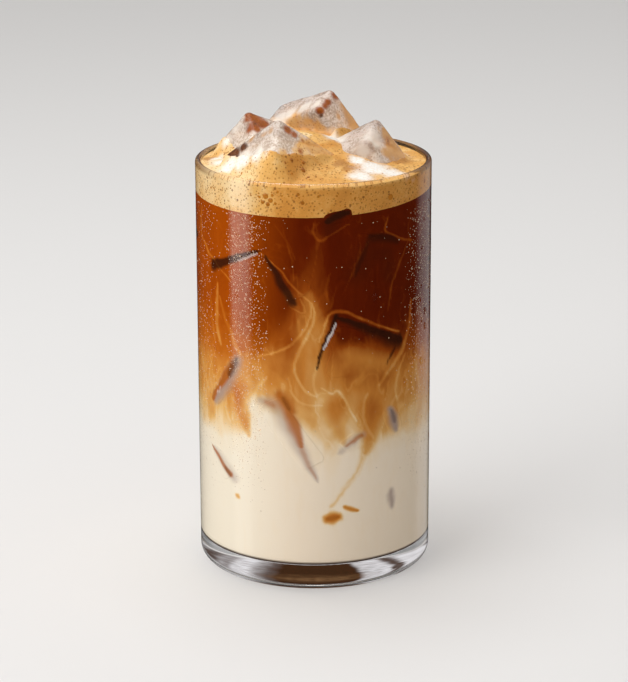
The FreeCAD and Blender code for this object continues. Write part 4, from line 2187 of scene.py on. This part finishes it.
    def strokes(self) -> list[Stroke]:
        """Every stroke.

        Returns:
            The strokes.
        """
        made = [self.thread(*thread) for thread in self.THREADS]
        made += [Stroke(ink, *edge) for ink, edges in self.EDGES.items() for edge in edges]
        for edge in self.FAR_EDGES:
            made += self.far_edge(*edge)
        return made


@dataclass
class Bubbles:
    """The large bubbles on the foam and at the glass.

    Attributes:
        foam: the foam that they are in.
        seed: seed of the scattered ones.
    """

    foam: FoamHead
    seed: int = 5

    # How many are scattered round the front heap, over the foam and at the glass.
    NEAR_HEAP = 70
    ELSEWHERE = 60
    BY_GLASS = 90

    ON_TOP = (
        (-11.1, -27.7, 1.15), (-6.8, -27.0, 0.72), (-3.2, -23.9, 0.70), (-3.2, -26.2, 0.95),
        (-8.7, -29.4, 0.42), (-6.6, -30.4, 0.38), (-1.6, -28.6, 0.45), (-4.9, -21.8, 0.40),
        (-10.2, -22.6, 0.36), (10.4, -20.5, 0.45), (-22.5, -22.0, 0.40), (24.0, 8.0, 0.50),
    )  # fmt: skip
    AT_GLASS = (
        (-23.8, 130.4, 0.95), (-21.2, 129.2, 0.80), (-25.4, 128.4, 0.60), (-22.6, 127.9, 0.70),
        (-20.3, 130.9, 0.50), (-27.0, 129.9, 0.45), (-18.8, 128.3, 0.45), (-17.5, 132.1, 0.42),
        (-5.3, 128.9, 0.62), (-7.4, 131.6, 0.50), (40.5, 128.6, 0.95), (2.4, 131.0, 0.40),
        (70.0, 130.0, 0.70), (118.0, 129.5, 0.90), (152.0, 130.5, 0.60), (-168.0, 129.0, 1.00),
        (-131.0, 130.0, 0.75), (-96.0, 128.8, 0.85), (-60.0, 129.5, 0.40),
    )  # fmt: skip

    def build(self, finish: BubbleFinish) -> None:
        """Every bubble as a low cap: placed ones, and scattered ones round the front heap and
        round the glass.

        Args:
            finish: the bubbles' finish.
        """
        draw = np.random.default_rng(self.seed)
        near = draw.normal((-5.0, -22.0), (8.0, 5.0), (self.NEAR_HEAP, 2))
        away = draw.uniform(-30, 30, (self.ELSEWHERE, 2))
        loose = np.concatenate([near, away])
        loose = loose[np.hypot(*loose.T) < self.foam.layers.glass.bore - 2.5]
        sizes = draw.uniform(0.14, 0.34, len(loose))
        placed = np.array(self.ON_TOP)
        flat = np.concatenate([placed[:, :2], loose])
        radii = np.concatenate([placed[:, 2], sizes])
        height = self.foam.height(flat[:, 0], flat[:, 1])
        tops = np.concatenate([flat, height[:, None]], axis=-1)
        outward = self.foam.slope(flat[:, 0], flat[:, 1])
        coated = outward[:, 2] > 0.35
        at_wall = np.array(self.AT_GLASS)
        ranges = ((-180, 180), (127.4, 132.6), (0.15, 0.34))
        small = np.stack([draw.uniform(*ends, self.BY_GLASS) for ends in ranges], axis=-1)
        at_wall = np.concatenate([at_wall, small])
        skin = self.foam.layers.skin
        sides = wall_place(at_wall[:, 0], at_wall[:, 1], np.array(skin))
        facing = wall_place(at_wall[:, 0], 0 * at_wall[:, 1], np.array(1.0))
        places = np.concatenate([tops[coated], sides])
        facings = np.concatenate([outward[coated], facing])
        radii = np.concatenate([radii[coated], at_wall[:, 2]])
        on_top = np.arange(len(places)) < coated.sum()
        rise = np.where(on_top, 0.35, 0.12)
        shell = domes(places, facings, radii, rise, 0 * radii, 14, 3, 0.12)
        made = shell.piece("foam_bubbles", finish.material(), crease=60)


@dataclass(frozen=True)
class MistBand:
    """A stretch of the wall where fine beads are thick.

    Attributes:
        angle: its middle.
        spread: how far it reaches to each side.
        weight: how thick the beads are there.
    """

    angle: float
    spread: float
    weight: float


@dataclass
class Wetness:
    """The fine beads and the larger drops on the outside of the glass.

    Attributes:
        radius: the glass's outside radius.
        low: height where the beads end below.
        high: height where they end above.
        beads: how many fine beads there are.
        sunk: how far a bead's flat face lies in the glass.
        seed: seed of the scatter.
    """

    radius: float
    low: float = 26.0
    high: float = 124.0
    beads: int = 7800
    sunk: float = 0.02
    seed: int = 11

    # How thick beads and drops are between the bands, and how many loose drops there are.
    FEW_BEADS = 0.008
    FEW_DROPS = 0.02
    LOOSE_DROPS = 60
    TRIES = 30

    BANDS = (
        MistBand(-35, 10, 1.0), MistBand(-66, 12, 0.28), MistBand(66, 14, 0.60),
        MistBand(105, 14, 0.35), MistBand(150, 16, 0.45), MistBand(-150, 18, 0.45),
        MistBand(-108, 12, 0.4),
    )  # fmt: skip
    DROPS = (
        (65.5, 109.1, 0.62, 0.5), (62.3, 102.7, 0.75, 0.6), (64.5, 96.5, 0.60, 0.3),
        (62.6, 92.0, 0.95, 0.7), (70.2, 87.4, 0.90, 0.6), (70.4, 82.3, 0.85, 0.7),
        (66.0, 85.0, 0.60, 0.3), (30.0, 97.6, 0.95, 0.3), (-56.0, 78.3, 0.75, 1.2),
        (-68.4, 65.0, 0.80, 1.0), (-30.1, 74.7, 0.80, 0.2), (65.5, 71.4, 1.00, 0.6),
        (29.0, 84.6, 0.45, 0.1), (-66.0, 121.0, 0.50, 0.4), (68.0, 118.0, 0.50, 0.2),
        (66.5, 44.0, 0.55, 0.2), (72.0, 27.0, 0.50, 0.1), (59.0, 36.0, 0.40, 0.1),
    )  # fmt: skip

    def scattered(self, draw: np.random.Generator, count: int, floor: float) -> np.ndarray:
        """Random angles and heights, kept by chance as the bands are thick there.

        Args:
            draw: the random numbers.
            count: how many are wanted.
            floor: how thick the beads are between the bands.

        Returns:
            Rows of angle and height.
        """
        angle = draw.uniform(-180, 180, self.TRIES * count)
        height = draw.uniform(self.low, self.high, self.TRIES * count)
        thick = np.full(angle.shape, floor)
        for band in self.BANDS:
            away = nearest_turn(angle - band.angle) / band.spread
            thick += band.weight * np.exp(-(away**4))
        thick *= eased_step(height, self.low - 1, 62)
        kept = np.flatnonzero(draw.uniform(0, 1, angle.shape) < thick)[:count]
        return np.stack([angle[kept], height[kept]], axis=-1)

    def caps(
        self, spots: np.ndarray, radii: np.ndarray, stretch: np.ndarray, around: int, rings: int
    ) -> Shell:
        """Caps of water on the wall.

        Args:
            spots: rows of angle and height.
            radii: each cap's radius.
            stretch: each cap's extra length downwards.
            around: points round each ring.
            rings: rings from foot to top.

        Returns:
            The caps as one surface.
        """
        places = wall_place(spots[:, 0], spots[:, 1], np.array(self.radius))
        facing = wall_place(spots[:, 0], 0 * spots[:, 1], np.array(1.0))
        rise = np.full(len(spots), 0.55)
        return domes(places, facing, radii, rise, stretch, around, rings, self.sunk)

    def build(self, mist: ClearFinish, water: ClearFinish) -> None:
        """The beads as one piece and the drops as another.

        Args:
            mist: the beads' finish.
            water: the drops' finish.
        """
        draw = np.random.default_rng(self.seed)
        fine = self.scattered(draw, self.beads, self.FEW_BEADS)
        radii = 0.09 + 0.14 * draw.random(len(fine)) ** 2
        beads = self.caps(fine, radii, 0 * radii, 6, 1)
        beads.piece("mist_beads", mist.material(), crease=80)
        placed = np.array(self.DROPS)
        loose = self.scattered(draw, self.LOOSE_DROPS, self.FEW_DROPS)
        spots = np.concatenate([placed[:, :2], loose])
        radii = np.concatenate([placed[:, 2], 0.28 + 0.3 * draw.random(self.LOOSE_DROPS) ** 2])
        stretch = np.concatenate([placed[:, 3], 0.4 * draw.random(self.LOOSE_DROPS)])
        drops = self.caps(spots, radii, stretch, 16, 5)
        drops.piece("water_drops", water.material(), crease=80)


# ---------------------------------------------------------------- the studio


@dataclass
class Studio:
    """The floor, the soft light and the camera.

    Attributes:
        floor_half: half the side of the floor, in metres.
        elevation: how far the camera looks down, in degrees.
        distance: from the camera to what it looks at, in metres.
        aim: height that it looks at, in metres.
        lens: focal length in millimetres.
        roll: how much the camera leans, in degrees.
    """

    floor_half: float = 4.0
    elevation: float = 17.0
    distance: float = 0.8854
    aim: float = 0.07315
    lens: float = 142.6
    roll: float = -0.2

    # Middle and half width of the bright panel and of the glow behind, in degrees.
    PANEL = (-77.0, 11.0)
    BACK_GLOW = (141.0, 17.0)

    FLOOR_COLOUR = (0.76, 0.75, 0.74, 1.0)
    GLOW_COLOUR = (0.46, 0.45, 0.45, 1.0)
    CEILING_COLOUR = (0.75, 0.74, 0.73, 1.0)
    PANEL_COLOUR = (2.2, 2.15, 2.1, 1.0)

    def build(self) -> None:
        """Sets up the studio."""
        self.build_floor()
        self.build_surround()
        self.build_lamps()
        self.build_camera()
        scene = bpy.context.scene
        scene.view_settings.view_transform = "Standard"
        scene.cycles.max_bounces = 24
        scene.cycles.transmission_bounces = 20
        scene.cycles.transparent_max_bounces = 24
        scene.cycles.caustics_reflective = False
        scene.cycles.caustics_refractive = False

    def build_floor(self) -> None:
        """A square floor at the height that the glass stands on."""
        half = self.floor_half
        corners = [(-half, -half, 0), (half, -half, 0), (half, half, 0), (-half, half, 0)]
        mesh = bpy.data.meshes.new("floor")
        mesh.from_pydata(corners, [], [(0, 1, 2, 3)])
        mesh.materials.append(FloorFinish("pale floor", self.FLOOR_COLOUR).material())
        floor = bpy.data.objects.new("floor", mesh)
        bpy.context.scene.collection.objects.link(floor)
        floor.visible_glossy = False
        floor.visible_transmission = False

    def band(
        self, recipe: Recipe, around: Output, middle: float, half: float, soft: float
    ) -> Output:
        """A value that is 1 near one direction round the studio and 0 elsewhere.

        Args:
            recipe: the world's nodes.
            around: the direction, in turns.
            middle: its middle, in degrees to the right of the front.
            half: half its width, in degrees.
            soft: the width of its edges, in degrees.

        Returns:
            The value's socket.
        """
        away = recipe.maths("SUBTRACT", around, middle / TURN + 0.5, kept=False)
        size = recipe.maths("ABSOLUTE", away, kept=False)
        return recipe.span(size, (half - soft) / TURN, (half + soft) / TURN, 1.0, 0.0)

    def build_surround(self) -> None:
        """Soft light from all round: an even room, a bright tall panel on the left, a dimmer one
        at the right behind, and a bright ceiling."""
        world = bpy.data.worlds.new("studio")
        bpy.context.scene.world = world
        world.use_nodes = True
        recipe = Recipe(world.node_tree)
        way = recipe.add("ShaderNodeTexCoord").outputs["Generated"]
        parts = recipe.add("ShaderNodeSeparateXYZ")
        recipe.feed(parts.inputs[0], way)
        ahead = recipe.maths("MULTIPLY", parts.outputs["Y"], -1.0, kept=False)
        turn = recipe.maths("ARCTAN2", parts.outputs["X"], ahead, kept=False)
        part = recipe.maths("DIVIDE", turn, 2 * math.pi, kept=False)
        round_about = recipe.maths("ADD", part, 0.5, kept=False)
        panel = self.band(recipe, round_about, *self.PANEL, 5.0)
        glow = self.band(recipe, round_about, *self.BACK_GLOW, 8.0)
        high = recipe.span(parts.outputs["Z"], 0.45, 0.9)
        room = recipe.span(parts.outputs["Z"], 0.0, 0.45, 0.015, 0.36)
        shade = recipe.add("ShaderNodeCombineColor")
        for number in range(3):
            recipe.feed(shade.inputs[number], room)
        light = recipe.mixed(glow, shade.outputs[0], self.GLOW_COLOUR)
        light = recipe.mixed(high, light, self.CEILING_COLOUR)
        tall = recipe.span(parts.outputs["Z"], -0.335, -0.265, 0.30, 1.0)
        tall = recipe.maths("MULTIPLY", tall, recipe.span(parts.outputs["Z"], 0.6, 0.75, 1.0, 0.0))
        low_panel = recipe.maths("MULTIPLY", panel, tall)
        light = recipe.mixed(low_panel, light, self.PANEL_COLOUR)
        background = world.node_tree.nodes["Background"]
        recipe.feed(background.inputs["Color"], light)
        background.inputs["Strength"].default_value = 1.0

    def build_lamps(self) -> None:
        """A large soft lamp on the left in front, and a weaker one above, which is mirrored."""
        self.lamp("side_lamp", (-0.85, -0.75, 0.62), 0.75, 6.3)
        self.lamp("top_lamp", (-0.10, 0.15, 1.10), 0.70, 5.0, mirrored=True)

    def lamp(
        self, name: str, place: tuple, size: float, power: float, mirrored: bool = False
    ) -> None:
        """A square soft lamp that shines at the glass's middle.

        Args:
            name: the lamp's name.
            place: where it stands, in metres.
            size: its side, in metres.
            power: its power in watts.
            mirrored: whether it shows in shiny surfaces.
        """
        light = bpy.data.lights.new(name, "AREA")
        light.shape = "SQUARE"
        light.size = size
        light.energy = power
        lamp = bpy.data.objects.new(name, light)
        bpy.context.scene.collection.objects.link(lamp)
        lamp.location = place
        way = Vector((0, 0, self.aim)) - Vector(place)
        lamp.rotation_mode = "QUATERNION"
        lamp.rotation_quaternion = way.to_track_quat("-Z", "Y")
        lamp.visible_glossy = mirrored

    def build_camera(self) -> None:
        """A long lens that looks down a little at the glass's front."""
        data = bpy.data.cameras.new("camera")
        data.lens = self.lens
        data.sensor_width = 36.0
        data.clip_start = 0.01
        data.clip_end = 50.0
        camera = bpy.data.objects.new("camera", data)
        bpy.context.scene.collection.objects.link(camera)
        down = math.radians(self.elevation)
        camera.location = (
            0.0,
            -self.distance * math.cos(down),
            self.aim + self.distance * math.sin(down),
        )
        tilt = Quaternion((1, 0, 0), math.pi / 2 - down)
        camera.rotation_mode = "QUATERNION"
        camera.rotation_quaternion = tilt @ Quaternion((0, 0, 1), math.radians(self.roll))
        bpy.context.scene.camera = camera


def main() -> None:
    """Builds the drink from the glass inwards and outwards, and then the studio."""
    logging.basicConfig(level=logging.INFO, format="%(name)s: %(message)s")
    low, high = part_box("glass")
    tumbler = Tumbler(radius=high.x / MM, height=high.z / MM)
    skin = tumbler.bore + SKIN_REACH
    effects = Effects()
    painter = Painter(skin, Sights(math.radians(1) * skin).strokes(), seed=3)
    layers = Layers(tumbler, painter)
    ice = TopIce(rim=tumbler.height, bore=tumbler.bore)
    tones = TopPaint(19)
    foam = FoamHead(layers, ice, tones)
    glass = ClearFinish("tumbler glass", (1.0, 1.0, 1.0, 1.0), 1.5)
    water = ClearFinish("water", (1.0, 1.0, 1.0, 1.0), 1.33)
    # The warm tint on the share that the beads scatter stands in for the light they catch: painted
    # highlights.
    mist = ClearFinish("mist", (1.0, 0.76, 0.54, 1.0), 1.33, roughness=0.1, clearness=0.55)
    tumbler.build(glass)
    layers.build_milk(DrinkFinish("milk", 0.0, underglow=True), effects)
    layers.build_coffee(DrinkFinish("coffee", 0.0), effects)
    SunkIce(skin + ICE_REACH).build(DrinkFinish("sunk ice", 0.0), effects, painter)
    ice.build(IceFinish("ice", 0.5, 0.2), effects, tones)
    foam.build(FoamFinish("coffee foam"), effects)
    Bubbles(foam).build(BubbleFinish("bubble"))
    Wetness(tumbler.radius).build(mist, water)
    Studio().build()


if __name__ == "__main__":
    main()
